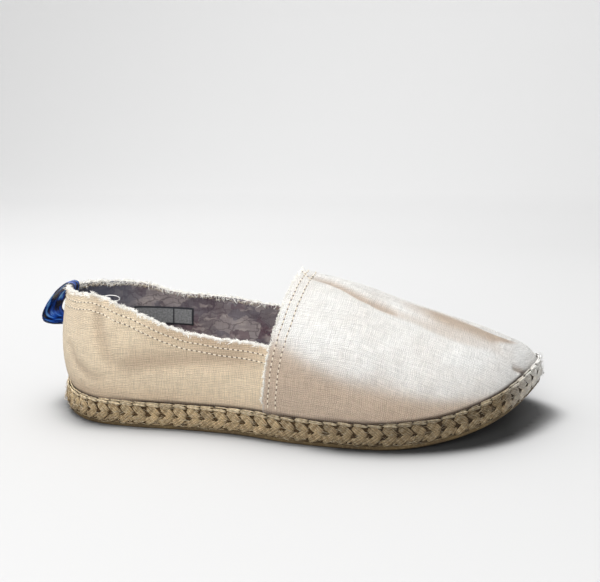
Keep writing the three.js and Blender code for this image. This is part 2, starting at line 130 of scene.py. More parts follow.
# %% [markdown]
# The sole lies flat under the ball, lifts at the toe and a little at the heel and the waist. The
# foot stands on the deck, one lip lower than the braid's top.

# %% Heights of the sole
def underside(share):
    heel = np.maximum(0, (0.12 - share) / 0.12)
    toe = np.maximum(0, (share - 0.66) / 0.34)
    waist = np.clip((share - 0.3) / 0.26, 0, 1)
    return HEEL_SPRING * heel ** 2 + TOE_SPRING * toe ** 2 + WAIST_LIFT * np.sin(np.pi * waist) ** 2


def braid_top(share):
    return underside(share) + SOLE_HEIGHT - SOLE_TAPER * share


def deck(share):
    return braid_top(share) - LIP


def share_at(x):
    return np.clip(x / LENGTH + 0.5, 0, 1)


print("the toe lifts by", round(float(underside(1.0)), 1), "mm")


# %% [markdown]
# The outline and the ridge are drawn first. A place round the foot is one angle, with 0 at the
# heel, so every piece that follows the sole can share it.

# %% Outline and ridge
def wrapped(around):
    return (around + np.pi) % (2 * np.pi) - np.pi


def outline_at(around):
    """Outer side negative, heel 0, inner side positive, toe at plus or minus pi."""
    place = wrapped(around)
    turn = np.abs(place)
    half = np.where(place < 0, -lateral_half(turn), medial_half(turn))
    return np.stack([(share_of(turn) - 0.5) * LENGTH, BALL_WIDTH * half], -1)


def inset_at(around, inset):
    along = outline_at(around + 0.004) - outline_at(around - 0.004)
    along /= np.linalg.norm(along, axis=-1, keepdims=True)
    inward = np.stack([along[..., 1], -along[..., 0]], -1)
    return outline_at(around) + inward * np.asarray(inset)[..., None]


def ridge_at(turn):
    x = RIDGE_START + (RIDGE_END - RIDGE_START) * share_of(turn)
    there = turn_of(share_at(x))
    y = BALL_WIDTH * (medial_half(there) - lateral_half(there)) / 2
    return np.stack([x, y, deck(share_at(x)) + GAP + INSTEP_HEIGHT * crown(there)], -1)


def ridge_side(x):
    """How far the ridge lies to the side, at places along the shoe."""
    ridge = ridge_at(np.linspace(0, np.pi, 60))
    return np.interp(x, ridge[:, 0], ridge[:, 1])


# %% [markdown]
# The wall climbs from the outline to the ridge on a rounded square, fuller at the heel. A second
# angle, the climb, tells how high a point lies on it.

# %% Surface of the last
def last_at(around, climb):
    """A point of the last: climb is 0 at the lower edge and half pi at the ridge."""
    over = climb > HALF_PI
    around = wrapped(np.where(over, -around, around))
    climb = np.clip(np.where(over, np.pi - climb, climb), 0, HALF_PI)
    turn = np.abs(around)
    foot, ridge = inset_at(around, np.full(turn.shape, FEATHER_INSET)), ridge_at(turn)
    low = deck(share_at(foot[..., 0])) + GAP
    rise = np.sin(climb) ** (2 / squareness(turn))
    out = foot - ridge[..., :2]
    reach = np.linalg.norm(out, axis=-1)
    lip = LIP / INSTEP_HEIGHT
    puff = np.sin(np.pi * np.clip((rise - lip) / (1 - lip), 0, 1) ** 0.6)
    length = reach * np.cos(climb) + HEEL_SWELL * swell(turn) * puff
    xy = ridge[..., :2] + out * (length / reach)[..., None]
    return np.concatenate([xy, (low + (ridge[..., 2] - low) * rise)[..., None]], -1)


def outward_at(around, climb):
    step = 0.01
    near = np.minimum(climb, HALF_PI - 0.04)
    up = last_at(around, near + step) - last_at(around, np.maximum(0, near - step))
    along = last_at(around + step, near) - last_at(around - step, near)
    normal = np.cross(up, along)
    return normal / np.maximum(np.linalg.norm(normal, axis=-1, keepdims=True), 1e-9)


def skin_at(around, climb, out):
    return last_at(around, climb) + outward_at(around, climb) * np.asarray(out)[..., None]


def climb_for(turn, height):
    low = deck(share_of(turn)) + GAP
    rise = np.clip(height / (ridge_at(turn)[..., 2] - low), 0, 1)
    return np.arcsin(rise ** (squareness(turn) / 2))


# %% [markdown]
# The vamp's rear edge and the collar are two lines on the last, and they cross in two corners.

# %% Edges of the cloth
def vamp_edge(climb):
    return turn_of(VAMP_FOOT + (VAMP_THROAT - VAMP_FOOT) * np.sin(climb) ** 1.5)


def collar_climb(turn, side):
    high = np.where(side < 0, collar_lateral(turn), collar_medial(turn))
    return climb_for(turn, HEEL_HEIGHT * high)


def corner_climb(side):
    climb = np.zeros(1)
    for _ in range(8):
        climb = collar_climb(vamp_edge(climb), side)
    return float(climb[0])


CORNER = {-1: corner_climb(-1), 1: corner_climb(1)}
print("the collar meets the vamp at a climb of", {k: round(v, 3) for k, v in CORNER.items()})

# %% [markdown]
# The frame's origin is the middle of its box, and the last is moved there by its rubber outsole.

# %% Where the frame lies
RUBBER_INSET = 1.5
around_all = np.linspace(-np.pi, np.pi, 2000)
plan = inset_at(around_all, np.full(2000, RUBBER_INSET))
low_box, high_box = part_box("outsole")
SHIFT = np.array([
    (low_box[0] + high_box[0]) / 2 / MM - (plan[:, 0].min() + plan[:, 0].max()) / 2,
    (low_box[1] + high_box[1]) / 2 / MM - (plan[:, 1].min() + plan[:, 1].max()) / 2, 0.0])
print("the frame lies", SHIFT.round(2), "mm from the last's own origin")

# %% [markdown]
# ## Camera
# The photograph is taken from the outer side, a little towards the toe and a little from above.
# The angles, the distance and the focal length below were fitted to the sole's outline.

# %% Camera
AZIMUTH, ELEVATION, ROLL = math.radians(9.233), math.radians(12.451), math.radians(-0.56)
CAMERA_DISTANCE, FOCAL_PIXELS, IMAGE_WIDTH = 402.5, 755.4, 600
AIM = Vector((2.83 + SHIFT[0], SHIFT[1], 66.85)) * MM
back = Vector((math.sin(AZIMUTH) * math.cos(ELEVATION), -math.cos(AZIMUTH) * math.cos(ELEVATION),
               math.sin(ELEVATION)))
right = (-back).cross(Vector((0, 0, 1))).normalized()
up = right.cross(-back)
rolled_right = math.cos(ROLL) * right + math.sin(ROLL) * up
rolled_up = -math.sin(ROLL) * right + math.cos(ROLL) * up
camera_data = bpy.data.cameras.new("camera")
camera_data.sensor_fit = "HORIZONTAL"
camera_data.sensor_width = 36
camera_data.lens = FOCAL_PIXELS * 36 / IMAGE_WIDTH
camera_data.clip_start = 0.01
camera = bpy.data.objects.new("camera", camera_data)
bpy.context.scene.collection.objects.link(camera)
camera.matrix_world = Matrix.Translation(AIM + back * CAMERA_DISTANCE * MM) @ Matrix(
    (rolled_right, rolled_up, back)).transposed().to_4x4()
bpy.context.scene.camera = camera
bpy.context.scene.view_settings.view_transform = "Standard"
print("lens", round(camera_data.lens, 1), "mm")


# %% [markdown]
# ## Helpers for cloth and strands
# A cloth panel starts as a flat grid whose corners are then laid on the last. Stitches, strands and
# loose fibres are one small spindle, modelled once and copied along many short curves.

# %% Grid panels
def start_clean():
    bpy.ops.object.select_all(action="DESELECT")


def new_grid(name, across, up_rows):
    """A flat grid of squares; its corners come in rows, first along X and then along Y."""
    start_clean()
    bpy.ops.mesh.primitive_grid_add(x_subdivisions=across, y_subdivisions=up_rows, size=1,
                                    calc_uvs=True)
    piece = bpy.context.object
    piece.name = piece.data.name = name
    return piece


def to_frame(points):
    return (points + SHIFT) * MM


def lay(piece, points, outward):
    """Puts the grid's corners at points and turns the faces to the given side."""
    mesh = piece.data
    mesh.vertices.foreach_set("co", to_frame(points.reshape(-1, 3)).ravel())
    mesh.update()
    count = len(mesh.polygons)
    faces = np.empty(count * 3)
    mesh.polygons.foreach_get("normal", faces)
    corner = np.empty(count, int)
    mesh.polygons.foreach_get("loop_start", corner)
    loops = np.empty(len(mesh.loops), int)
    mesh.loops.foreach_get("vertex_index", loops)
    agree = (faces.reshape(-1, 3) * outward.reshape(-1, 3)[loops[corner]]).sum()
    if agree < 0:
        mesh.flip_normals()
    mesh.shade_smooth()


# %% [markdown]
# A panel carries its own map in millimetres, as real cloth does, so the weave keeps its size. The
# walls get their thickness from a modifier, which is applied at once.

# %% Maps, modifiers and looks
def arc_lengths(points, axis):
    steps = np.linalg.norm(np.diff(points, axis=axis), axis=-1)
    total = np.cumsum(steps, axis=axis)
    return np.concatenate([np.zeros_like(np.take(total, [0], axis)), total], axis)


def walked(line):
    """The length walked along a line up to each of its points."""
    return np.concatenate([[0], np.cumsum(np.linalg.norm(np.diff(line, axis=0), axis=1))])


def cloth_map(piece, u, v, **values):
    """Writes the cloth's own coordinates in millimetres, and any further value, at each corner."""
    mesh = piece.data
    loops = np.empty(len(mesh.loops), int)
    mesh.loops.foreach_get("vertex_index", loops)
    both = np.stack([u.ravel()[loops], v.ravel()[loops]], -1)
    mesh.uv_layers[0].data.foreach_set("uv", both.ravel())
    for name, value in values.items():
        layer = mesh.attributes.new(name, "FLOAT", "POINT")
        layer.data.foreach_set("value", np.ascontiguousarray(value.ravel(), dtype=np.float32))


def apply(piece, kind, **settings):
    modifier = piece.modifiers.new(kind.lower(), kind)
    for key, value in settings.items():
        setattr(modifier, key, value)
    start_clean()
    bpy.context.view_layer.objects.active = piece
    piece.select_set(True)
    bpy.ops.object.modifier_apply(modifier=modifier.name)


def merge_seam(piece):
    start_clean()
    bpy.context.view_layer.objects.active = piece
    piece.select_set(True)
    bpy.ops.object.mode_set(mode="EDIT")
    bpy.ops.mesh.select_all(action="SELECT")
    bpy.ops.mesh.remove_doubles(threshold=0.02 * MM)
    bpy.ops.object.mode_set(mode="OBJECT")


def dress(piece, material, slot, *nodes):
    piece.data.materials.clear()
    piece.data.materials.append(material)
    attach(piece, "root")
    if nodes:
        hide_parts(*nodes)
    return piece


# %% [markdown]
# A stitch, a strand of jute and a loose fibre are all one round primitive, pulled along a short
# curve and pointed at both ends. Hundreds of copies then need only a few dozen faces each.

# %% One spindle
def spindle_template(sides, rings):
    """A round spindle from one primitive: rings of corners from pole to pole along X."""
    start_clean()
    bpy.ops.mesh.primitive_uv_sphere_add(segments=sides, ring_count=rings, radius=1)
    ball = bpy.context.object
    corners = np.empty(len(ball.data.vertices) * 3)
    ball.data.vertices.foreach_get("co", corners)
    corners = corners.reshape(-1, 3)
    faces = [tuple(p.vertices) for p in ball.data.polygons]
    bpy.data.objects.remove(ball)
    along = np.arccos(np.clip(corners[:, 2], -1, 1)) / np.pi
    flat = np.maximum(np.linalg.norm(corners[:, :2], axis=1), 1e-9)
    pole = flat < 1e-6
    circle = np.where(pole[:, None], 0, corners[:, :2] / flat[:, None])
    return along, circle, pole, faces


# %% [markdown]
# A copy follows its curve: one direction runs along it, one points out of the shoe and one aside.
# Its width and its thickness are given in the last two.

# %% Spindles along curves
def strands(name, centres, outs, width, thickness, template, fullness, tint=None):
    """Copies the spindle along K curves of M points. outs gives each curve's outer side."""
    along, circle, pole, faces = template
    count, points = centres.shape[:2]
    width, thickness = (np.broadcast_to(np.asarray(x, float), (count,)) for x in (width, thickness))
    place = along * (points - 1)
    low = np.minimum(place.astype(int), points - 2)
    part = (place - low)[None, :, None]
    middle = centres[:, low] * (1 - part) + centres[:, low + 1] * part
    tangents = np.gradient(centres, axis=1)
    tangent = tangents[:, low] * (1 - part) + tangents[:, low + 1] * part
    tangent /= np.maximum(np.linalg.norm(tangent, axis=-1, keepdims=True), 1e-9)
    out = outs[:, low] * (1 - part) + outs[:, low + 1] * part
    out = out - tangent * (out * tangent).sum(-1, keepdims=True)
    out /= np.maximum(np.linalg.norm(out, axis=-1, keepdims=True), 1e-9)
    side = np.cross(tangent, out)
    full = np.where(pole, 0, np.maximum(0, 1 - np.abs(2 * along - 1) ** 2.5) ** fullness)
    across, proud = full * circle[:, 0], full * circle[:, 1]
    corners = (middle + side * across[None, :, None] * width[:, None, None] / 2
               + out * proud[None, :, None] * thickness[:, None, None] / 2)
    per = len(along)
    mesh = bpy.data.meshes.new(name)
    all_faces = [tuple(i + k * per for i in f) for k in range(count) for f in faces]
    mesh.from_pydata(to_frame(corners.reshape(-1, 3)).tolist(), [], all_faces)
    mesh.uv_layers.new(name="UVMap")
    piece = bpy.data.objects.new(name, mesh)
    bpy.context.scene.collection.objects.link(piece)
    lengths = np.linalg.norm(np.diff(centres, axis=1), axis=-1).sum(1)
    u = lengths[:, None] * along[None]
    v = np.broadcast_to(width[:, None] * circle[None, :, 0] / 2, u.shape)
    tone = np.zeros(count) if tint is None else tint
    cloth_map(piece, u, v, tint=np.repeat(tone, per))
    start_clean()
    bpy.context.view_layer.objects.active = piece
    piece.select_set(True)
    bpy.ops.object.mode_set(mode="EDIT")
    bpy.ops.mesh.select_all(action="SELECT")
    bpy.ops.mesh.normals_make_consistent(inside=False)
    bpy.ops.object.mode_set(mode="OBJECT")
    mesh.shade_smooth()
    print(name, "has", count, "strands and", len(mesh.polygons), "faces")
    return piece


FINE = spindle_template(3, 5)
THREAD = spindle_template(6, 6)
PLUMP = spindle_template(10, 11)
HOLE = spindle_template(6, 4)


# %% [markdown]
# ## Finishes
# The cloths share a node group that draws a plain weave in the cloth's own millimetres, with slubs
# where the yarn is thick. Each material then mixes its colours by the weave, by a soft cloud and by
# values painted on the panel: painted shade for the tone and the folds, and the raw edge.

# %% Node helpers
def math_node(tree, operation, a, b=None):
    node = tree.nodes.new("ShaderNodeMath")
    node.operation = operation
    for socket, value in zip(node.inputs, (a, b)):
        if value is None:
            continue
        if isinstance(value, (int, float)):
            socket.default_value = value
        else:
            tree.links.new(value, socket)
    return node.outputs[0]


def mix_colour(tree, share, a, b, blend="MIX"):
    node = tree.nodes.new("ShaderNodeMix")
    node.data_type = "RGBA"
    node.blend_type = blend
    for socket, value in ((node.inputs[0], share), (node.inputs[6], a), (node.inputs[7], b)):
        if isinstance(value, (int, float, tuple)):
            socket.default_value = value
        else:
            tree.links.new(value, socket)
    return node.outputs[2]


# %% [markdown]
# A pattern needs a place to be drawn from. Cloth uses its own map, and hard pieces use the place in
# the shoe, which stays put from every side.

# %% Patterns, places and colours
def noise(tree, vector, scale, detail=2.0, roughness=0.5):
    node = tree.nodes.new("ShaderNodeTexNoise")
    node.inputs["Scale"].default_value = scale
    node.inputs["Detail"].default_value = detail
    node.inputs["Roughness"].default_value = roughness
    tree.links.new(vector, node.inputs["Vector"])
    return node.outputs["Fac"]


def stretched(tree, vector, scale):
    node = tree.nodes.new("ShaderNodeMapping")
    node.inputs["Scale"].default_value = scale
    tree.links.new(vector, node.inputs["Vector"])
    return node.outputs[0]


def remap(tree, value, low, high, to_low=0.0, to_high=1.0):
    node = tree.nodes.new("ShaderNodeMapRange")
    node.inputs["From Min"].default_value = low
    node.inputs["From Max"].default_value = high
    node.inputs["To Min"].default_value = to_low
    node.inputs["To Max"].default_value = to_high
    tree.links.new(value, node.inputs["Value"])
    return node.outputs[0]


def axes_of(tree, vector):
    """The three numbers of a place, each as a socket of its own."""
    node = tree.nodes.new("ShaderNodeSeparateXYZ")
    tree.links.new(vector, node.inputs[0])
    return node.outputs


def place_of(tree):
    return tree.nodes.new("ShaderNodeTexCoord").outputs["Object"]


def cells(tree, vector, scale, feature="F1"):
    node = tree.nodes.new("ShaderNodeTexVoronoi")
    node.feature = feature
    node.inputs["Scale"].default_value = scale
    tree.links.new(vector, node.inputs["Vector"])
    return node.outputs


def colour(red, green, blue):
    """A colour of the photograph's kind, 0 to 255, as the linear values that nodes use."""
    parts = (c / 255 for c in (red, green, blue))
    linear = (c / 12.92 if c <= 0.04045 else ((c + 0.055) / 1.055) ** 2.4 for c in parts)
    return (*linear, 1.0)


# %% [markdown]
# The weave is one node group with its pitch and its slubs as inputs. It gives back a height for
# the bump and the yarn's own thickness for the colour.

# %% Weave group
def weave_group():
    tree = bpy.data.node_groups.new("plain_weave", "ShaderNodeTree")
    face = tree.interface
    face.new_socket("Cloth", in_out="INPUT", socket_type="NodeSocketVector")
    face.new_socket("Pitch", in_out="INPUT", socket_type="NodeSocketFloat")
    face.new_socket("Slub", in_out="INPUT", socket_type="NodeSocketFloat")
    face.new_socket("Height", in_out="OUTPUT", socket_type="NodeSocketFloat")
    face.new_socket("Yarn", in_out="OUTPUT", socket_type="NodeSocketFloat")
    start = tree.nodes.new("NodeGroupInput")
    end = tree.nodes.new("NodeGroupOutput")
    parts = tree.nodes.new("ShaderNodeSeparateXYZ")
    wobble = tree.nodes.new("ShaderNodeVectorMath")
    wobble.operation = "ADD"
    shake = tree.nodes.new("ShaderNodeTexNoise")
    shake.inputs["Scale"].default_value = 0.35
    tree.links.new(start.outputs["Cloth"], shake.inputs["Vector"])
    tree.links.new(start.outputs["Cloth"], wobble.inputs[0])
    tree.links.new(shake.outputs["Color"], wobble.inputs[1])
    tree.links.new(wobble.outputs[0], parts.inputs[0])
    warp = math_node(tree, "DIVIDE", parts.outputs[0], start.outputs["Pitch"])
    weft = math_node(tree, "DIVIDE", parts.outputs[1], start.outputs["Pitch"])
    warp_wave = math_node(tree, "SINE", math_node(tree, "MULTIPLY", warp, math.pi))
    weft_wave = math_node(tree, "SINE", math_node(tree, "MULTIPLY", weft, math.pi))
    cell = math_node(tree, "ABSOLUTE", math_node(tree, "MULTIPLY", warp_wave, weft_wave))
    knots = math_node(tree, "POWER", cell, 0.6)
    long_slub = noise(tree, stretched(tree, start.outputs["Cloth"], (0.12, 1.6, 1)), 1.0)
    high_slub = noise(tree, stretched(tree, start.outputs["Cloth"], (1.6, 0.12, 1)), 1.0)
    slubs = math_node(tree, "ADD", long_slub, high_slub)
    uneven = math_node(tree, "MULTIPLY", math_node(tree, "SUBTRACT", slubs, 1.0),
                       start.outputs["Slub"])
    tree.links.new(math_node(tree, "ADD", knots, uneven), end.inputs["Height"])
    tree.links.new(slubs, end.inputs["Yarn"])
    return tree


WEAVE = weave_group()
print("weave:", len(WEAVE.nodes), "nodes")


# %% [markdown]
# Every cloth starts from the same material: a plain shader, the map of the cloth and a bump.

# %% Start of a cloth's finish
def cloth_material(name):
    """A material with a Principled shader, the cloth's own coordinates and an empty colour."""
    material = bpy.data.materials.new(name)
    material.use_nodes = True
    tree = material.node_tree
    shader = tree.nodes["Principled BSDF"]
    uv = tree.nodes.new("ShaderNodeUVMap")
    uv.uv_map = "UVMap"
    return material, tree, shader, uv.outputs[0]


def painted(tree, name):
    node = tree.nodes.new("ShaderNodeAttribute")
    node.attribute_name = name
    return node.outputs["Fac"]


def bump(tree, shader, height, depth_mm, strength=1.0):
    node = tree.nodes.new("ShaderNodeBump")
    node.inputs["Strength"].default_value = strength
    node.inputs["Distance"].default_value = depth_mm * MM
    tree.links.new(height, node.inputs["Height"])
    tree.links.new(node.outputs[0], shader.inputs["Normal"])


def weave(tree, cloth, pitch, slub):
    node = tree.nodes.new("ShaderNodeGroup")
    node.node_tree = WEAVE
    node.inputs["Pitch"].default_value = pitch
    node.inputs["Slub"].default_value = slub
    tree.links.new(cloth, node.inputs["Cloth"])
    return node.outputs["Height"], node.outputs["Yarn"]


# %% [markdown]
# Canvas is pale, with tan painted in as shade. How much of each shows is painted on the panel: its
# tone and its folds as painted shade, its raw edge, and the painted shadow in the gap behind the
# braid.

# %% Canvas finish
def canvas_material(name, light, tan, deep):
    material, tree, shader, cloth = cloth_material(name)
    height, yarn = weave(tree, cloth, 0.92, 0.9)
    cloud = noise(tree, cloth, 0.035, 3)
    # painted shade: tan by the panel's tone, then the deep colour by its folds
    base = mix_colour(tree, painted(tree, "tone"), light, tan)
    base = mix_colour(tree, painted(tree, "fold"), base, deep)
    base = mix_colour(tree, remap(tree, cloud, 0.35, 0.75, 0.0, 0.22), base, tan)
    # painted shade and light in the weave: darker where the yarns dip, lighter on their crowns
    dull = remap(tree, height, 0.1, 0.9, 0.81, 1.07)
    base = mix_colour(tree, 1.0, base, dull, "MULTIPLY")
    slub_light = remap(tree, yarn, 0.75, 1.3, 0.91, 1.07)
    base = mix_colour(tree, 1.0, base, slub_light, "MULTIPLY")
    base = mix_colour(tree, painted(tree, "edge"), base, colour(247, 245, 240))
    # painted shadow: dark brown where the cloth dives behind the braid
    base = mix_colour(tree, painted(tree, "gap"), base, colour(64, 47, 32))
    tree.links.new(base, shader.inputs["Base Color"])
    shader.inputs["Roughness"].default_value = 0.92
    shader.inputs["Sheen Weight"].default_value = 0.15
    shader.inputs["Sheen Roughness"].default_value = 0.5
    shader.inputs["Specular IOR Level"].default_value = 0.25
    bump(tree, shader, height, 0.45, 1.0)
    return material


# painted light: the quarters wear a warmer copy of the same canvas as the vamp, for how the light
# falls on them
canvas_warm = canvas_material("warm_canvas", colour(243, 225, 196), colour(216, 190, 158),
                              colour(176, 150, 126))
canvas_pale = canvas_material("pale_canvas", colour(243, 242, 239), colour(200, 179, 158),
                              colour(182, 154, 126))
print("canvas:", canvas_warm.name, "and", canvas_pale.name)


# %% [markdown]
# The lining has a faded print. It is a generic one of pebbles and blades, made from cell patterns
# and blurred into the cloth.

# %% Lining and insole finish
def print_material(name, ground, leaf, petal, shade, heel, scale):
    """A soft scattered print of pebbles and blades, faded into the cloth, plain at the heel."""
    material, tree, shader, cloth = cloth_material(name)
    height, yarn = weave(tree, cloth, 0.6, 0.6)
    wander = tree.nodes.new("ShaderNodeVectorMath")
    wander.operation = "MULTIPLY_ADD"
    drift = tree.nodes.new("ShaderNodeTexNoise")
    drift.inputs["Scale"].default_value = 0.22
    tree.links.new(cloth, drift.inputs["Vector"])
    tree.links.new(drift.outputs["Color"], wander.inputs[0])
    wander.inputs[1].default_value = (7.0, 7.0, 0.0)
    tree.links.new(cloth, wander.inputs[2])
    bent = wander.outputs[0]
    pebbles = cells(tree, bent, scale)
    rims = cells(tree, stretched(tree, bent, (0.5, 1.1, 1)), scale * 1.7, "DISTANCE_TO_EDGE")
    blades = cells(tree, stretched(tree, bent, (0.4, 1.2, 1)), scale * 2.1)
    cell = axes_of(tree, pebbles["Color"])
    base = mix_colour(tree, remap(tree, noise(tree, cloth, 0.06, 3), 0.35, 0.65), ground, shade)
    base = mix_colour(tree, remap(tree, cell[0], 0.45, 0.9, 0.0, 0.6), base, petal)
    base = mix_colour(tree, remap(tree, cell[1], 0.6, 0.95, 0.0, 0.55), base, leaf)
    inner = remap(tree, blades["Distance"], 0.42, 0.2, 0.0, 0.6)
    base = mix_colour(tree, inner, base, petal)
    rim = remap(tree, rims["Distance"], 0.07, 0.02, 0.0, 0.6)
    base = mix_colour(tree, rim, base, shade)
    fuzz = noise(tree, cloth, 1.4, 4, 0.7)
    base = mix_colour(tree, remap(tree, fuzz, 0.4, 0.75, 0.0, 0.5), base, ground)
    along = axes_of(tree, place_of(tree))[0]
    base = mix_colour(tree, remap(tree, along, -0.092, -0.108, 0.0, 0.85), base, heel)
    base = mix_colour(tree, 1.0, base, remap(tree, yarn, 0.7, 1.3, 0.85, 1.08), "MULTIPLY")
    tree.links.new(base, shader.inputs["Base Color"])
    shader.inputs["Roughness"].default_value = 0.95
    shader.inputs["Specular IOR Level"].default_value = 0.2
    bump(tree, shader, height, 0.12, 0.6)
    return material


# painted shade: both prints are set darker, for the shade inside the shoe
lining_print = print_material("printed_lining", colour(140, 135, 141), colour(106, 68, 78),
                              colour(200, 188, 182), colour(88, 76, 84), colour(96, 100, 114),
                              0.105)
insole_print = print_material("printed_insole", colour(156, 146, 141), colour(124, 98, 95),
                              colour(206, 196, 185), colour(96, 84, 82), colour(156, 146, 141),
                              0.12)
print("prints:", lining_print.name, "and", insole_print.name)


# %% [markdown]
# Thread and fibres have a twist of their own, and each is a little lighter or darker than the next.

# %% Thread finish
def thread_material(name, shade, dark):
    material, tree, shader, cloth = cloth_material(name)
    twist = tree.nodes.new("ShaderNodeTexWave")
    twist.inputs["Scale"].default_value = 0.9
    twist.inputs["Distortion"].default_value = 1.0
    twist.bands_direction = "DIAGONAL"
    tree.links.new(cloth, twist.inputs["Vector"])
    lone = remap(tree, painted(tree, "tint"), 0.0, 1.0, 0.0, 0.6)
    base = mix_colour(tree, lone, shade, dark)
    base = mix_colour(tree, remap(tree, twist.outputs["Fac"], 0.2, 0.8, 0.0, 0.35), base, dark)
    tree.links.new(base, shader.inputs["Base Color"])
    shader.inputs["Roughness"].default_value = 0.85
    bump(tree, shader, twist.outputs["Fac"], 0.08, 0.6)
    return material


cotton_thread = thread_material("cotton_thread", colour(236, 226, 208), colour(196, 178, 152))
white_fray = thread_material("white_fray", colour(255, 255, 252), colour(242, 236, 224))
tan_fray = thread_material("tan_fray", colour(244, 234, 216), colour(190, 168, 142))
needle_shadow = thread_material("needle_shadow", colour(122, 110, 98), colour(96, 86, 76))
print("finishes:", [m.name for m in bpy.data.materials])


# %% [markdown]
# ## Creases and tones
# Canvas that has been worn keeps soft folds. Each is a line on the last from one place to another,
# with a width and a depth, and the cloth is pressed in or lifted along it. The long fold on top of
# the vamp starts at the throat, and the canvas above it stands up like a bank.

# %% Folds, by share of the length and share of the climb
# side, places as (share of the length, share of the climb), depth in mm (- is in), width in mm
FOLDS = [
    (-1, [(0.525, 0.90), (0.574, 0.906), (0.609, 0.874), (0.643, 0.82), (0.675, 0.796),
          (0.73, 0.788)], -2.6, 2.5),
    (-1, [(0.58, 0.96), (0.63, 0.91), (0.68, 0.87)], 1.3, 3.6),
    (-1, [(0.67, 0.80), (0.697, 0.786), (0.773, 0.776), (0.80, 0.728), (0.861, 0.67),
          (0.906, 0.654), (0.944, 0.626)], -1.3, 5.2),
    (-1, [(0.66, 0.97), (0.74, 0.93), (0.84, 0.89), (0.93, 0.85)], 0.9, 6.0),
    (-1, [(0.64, 0.70), (0.74, 0.66), (0.84, 0.56), (0.92, 0.50)], 0.7, 7.0),
    (-1, [(0.51, 0.40), (0.60, 0.32), (0.68, 0.34)], 0.6, 9.0),
    (-1, [(0.55, 0.14), (0.64, 0.18), (0.74, 0.24)], -0.6, 7.0),
    (-1, [(0.944, 0.36), (0.952, 0.318), (0.963, 0.246), (0.967, 0.14), (0.968, 0.03)],
     -1.7, 1.4),
    (1, [(0.56, 0.75), (0.68, 0.72), (0.80, 0.66)], -1.2, 6.0),
    (1, [(0.60, 0.30), (0.68, 0.33), (0.76, 0.36)], -0.8, 8.0),
    (-1, [(0.105, 0.40), (0.12, 0.30), (0.134, 0.20), (0.157, 0.084)], -1.2, 3.8),
    (-1, [(0.14, 0.40), (0.16, 0.25), (0.185, 0.12)], 0.9, 4.5),
    (-1, [(0.045, 0.15), (0.069, 0.075), (0.108, 0.055), (0.15, 0.05)], -1.4, 3.4),
    (-1, [(0.15, 0.10), (0.24, 0.126), (0.30, 0.14), (0.38, 0.175), (0.43, 0.20)], -0.9, 5.5),
    (-1, [(0.20, 0.06), (0.30, 0.09), (0.42, 0.13)], 0.9, 6.0),
    (1, [(0.03, 0.10), (0.04, 0.25), (0.05, 0.40)], -0.7, 4.5),
    (1, [(0.14, 0.12), (0.25, 0.16), (0.36, 0.22)], -0.7, 7.0),
]


# %% [markdown]
# A fold is deepest along its line and fades to both sides and to its ends. Long low ripples, the
# same each time, keep the cloth between the folds from looking cast.

# %% Relief of the cloth
def fold_lines():
    lines = []
    for side, places, depth, width in FOLDS:
        share, climb = np.array(places).T
        t = np.linspace(0, 1, 40)
        turn = turn_of(np.interp(t, np.linspace(0, 1, len(share)), share))
        rise = np.interp(t, np.linspace(0, 1, len(share)), climb) * HALF_PI
        line = last_at(side * turn, rise)
        for _ in range(4):
            line[1:-1] = (line[:-2] + line[1:-1] + line[2:]) / 3
        lines.append((line, depth, width, np.sin(np.pi * t) ** 0.5))
    return lines


LINES = fold_lines()
print("folds:", len(LINES))
RIPPLES = np.random.default_rng(7)
WAVES = [(RIPPLES.uniform(0.03, 0.16), RIPPLES.uniform(0.03, 0.16), RIPPLES.uniform(0.03, 0.16),
          RIPPLES.uniform(0, 6.28)) for _ in range(14)]


def relief(points):
    """How far the cloth stands out of the last, in millimetres."""
    flat = points.reshape(-1, 3)
    out = np.zeros(len(flat))
    for line, depth, width, fade in LINES:
        reach = 2.6 * width
        near = np.flatnonzero(((flat > line.min(0) - reach) & (flat < line.max(0) + reach)).all(1))
        distance = np.linalg.norm(flat[near, None] - line[None], axis=-1)
        closest = distance.argmin(1)
        gap = distance[np.arange(len(near)), closest]
        out[near] += depth * fade[closest] * np.exp(-((gap / width) ** 2))
    for fx, fy, fz, phase in WAVES:
        out += 0.05 * np.sin(flat[:, 0] * fx + flat[:, 1] * fy + flat[:, 2] * fz + phase)
    return out.reshape(points.shape[:-1])


def edge_wobble(count, seed, size):
    """A ragged line: a few long waves and single threads that stand out."""
    rng = np.random.default_rng(seed)
    t = np.arange(count)
    line = sum(rng.uniform(0.3, 1) * np.sin(t * rng.uniform(0.05, 0.9) + rng.uniform(0, 6.28))
               for _ in range(7)) / 3
    return size * (line + 0.5 * rng.standard_normal(count))


# %% [markdown]
# ## Quarters
# The two quarters wrap the heel from one side of the vamp to the other. Their collar is a raw edge:
# the last threads are white and stand up unevenly. The grid runs under the vamp's edge, as the
# cloth does.

# %% Places of a heel panel
def gap_shade(points):
    """Painted shadow: a dark line where the cloth dives behind the braid."""
    above = points[..., 2] - braid_top(share_at(points[..., 0]))
    return np.clip(1.45 - above / 1.4, 0, 1)


QUARTER_COLUMNS, QUARTER_ROWS = 300, 64


def quarter_places(columns, rows, tuck, ragged, seed):
    """Where the corners of a heel panel lie: around and climb for each column and row."""
    along = np.linspace(-1, 1, columns + 1)
    side = np.where(along < 0, -1, 1)
    share = np.abs(along)
    corner = np.where(side < 0, CORNER[-1], CORNER[1])
    top = np.where(side < 0, collar_climb(share * vamp_edge(corner), -1),
                   collar_climb(share * vamp_edge(corner), 1))
    top = top + (corner - top) * share ** 6
    top = top * (1 + edge_wobble(columns + 1, seed, ragged) / 50)
    climb = np.linspace(0, 1, rows + 1)[:, None] * top[None]
    reach = 1 + tuck / 140 * share ** 4
    around = (side * share * reach)[None] * vamp_edge(climb)
    return around, climb
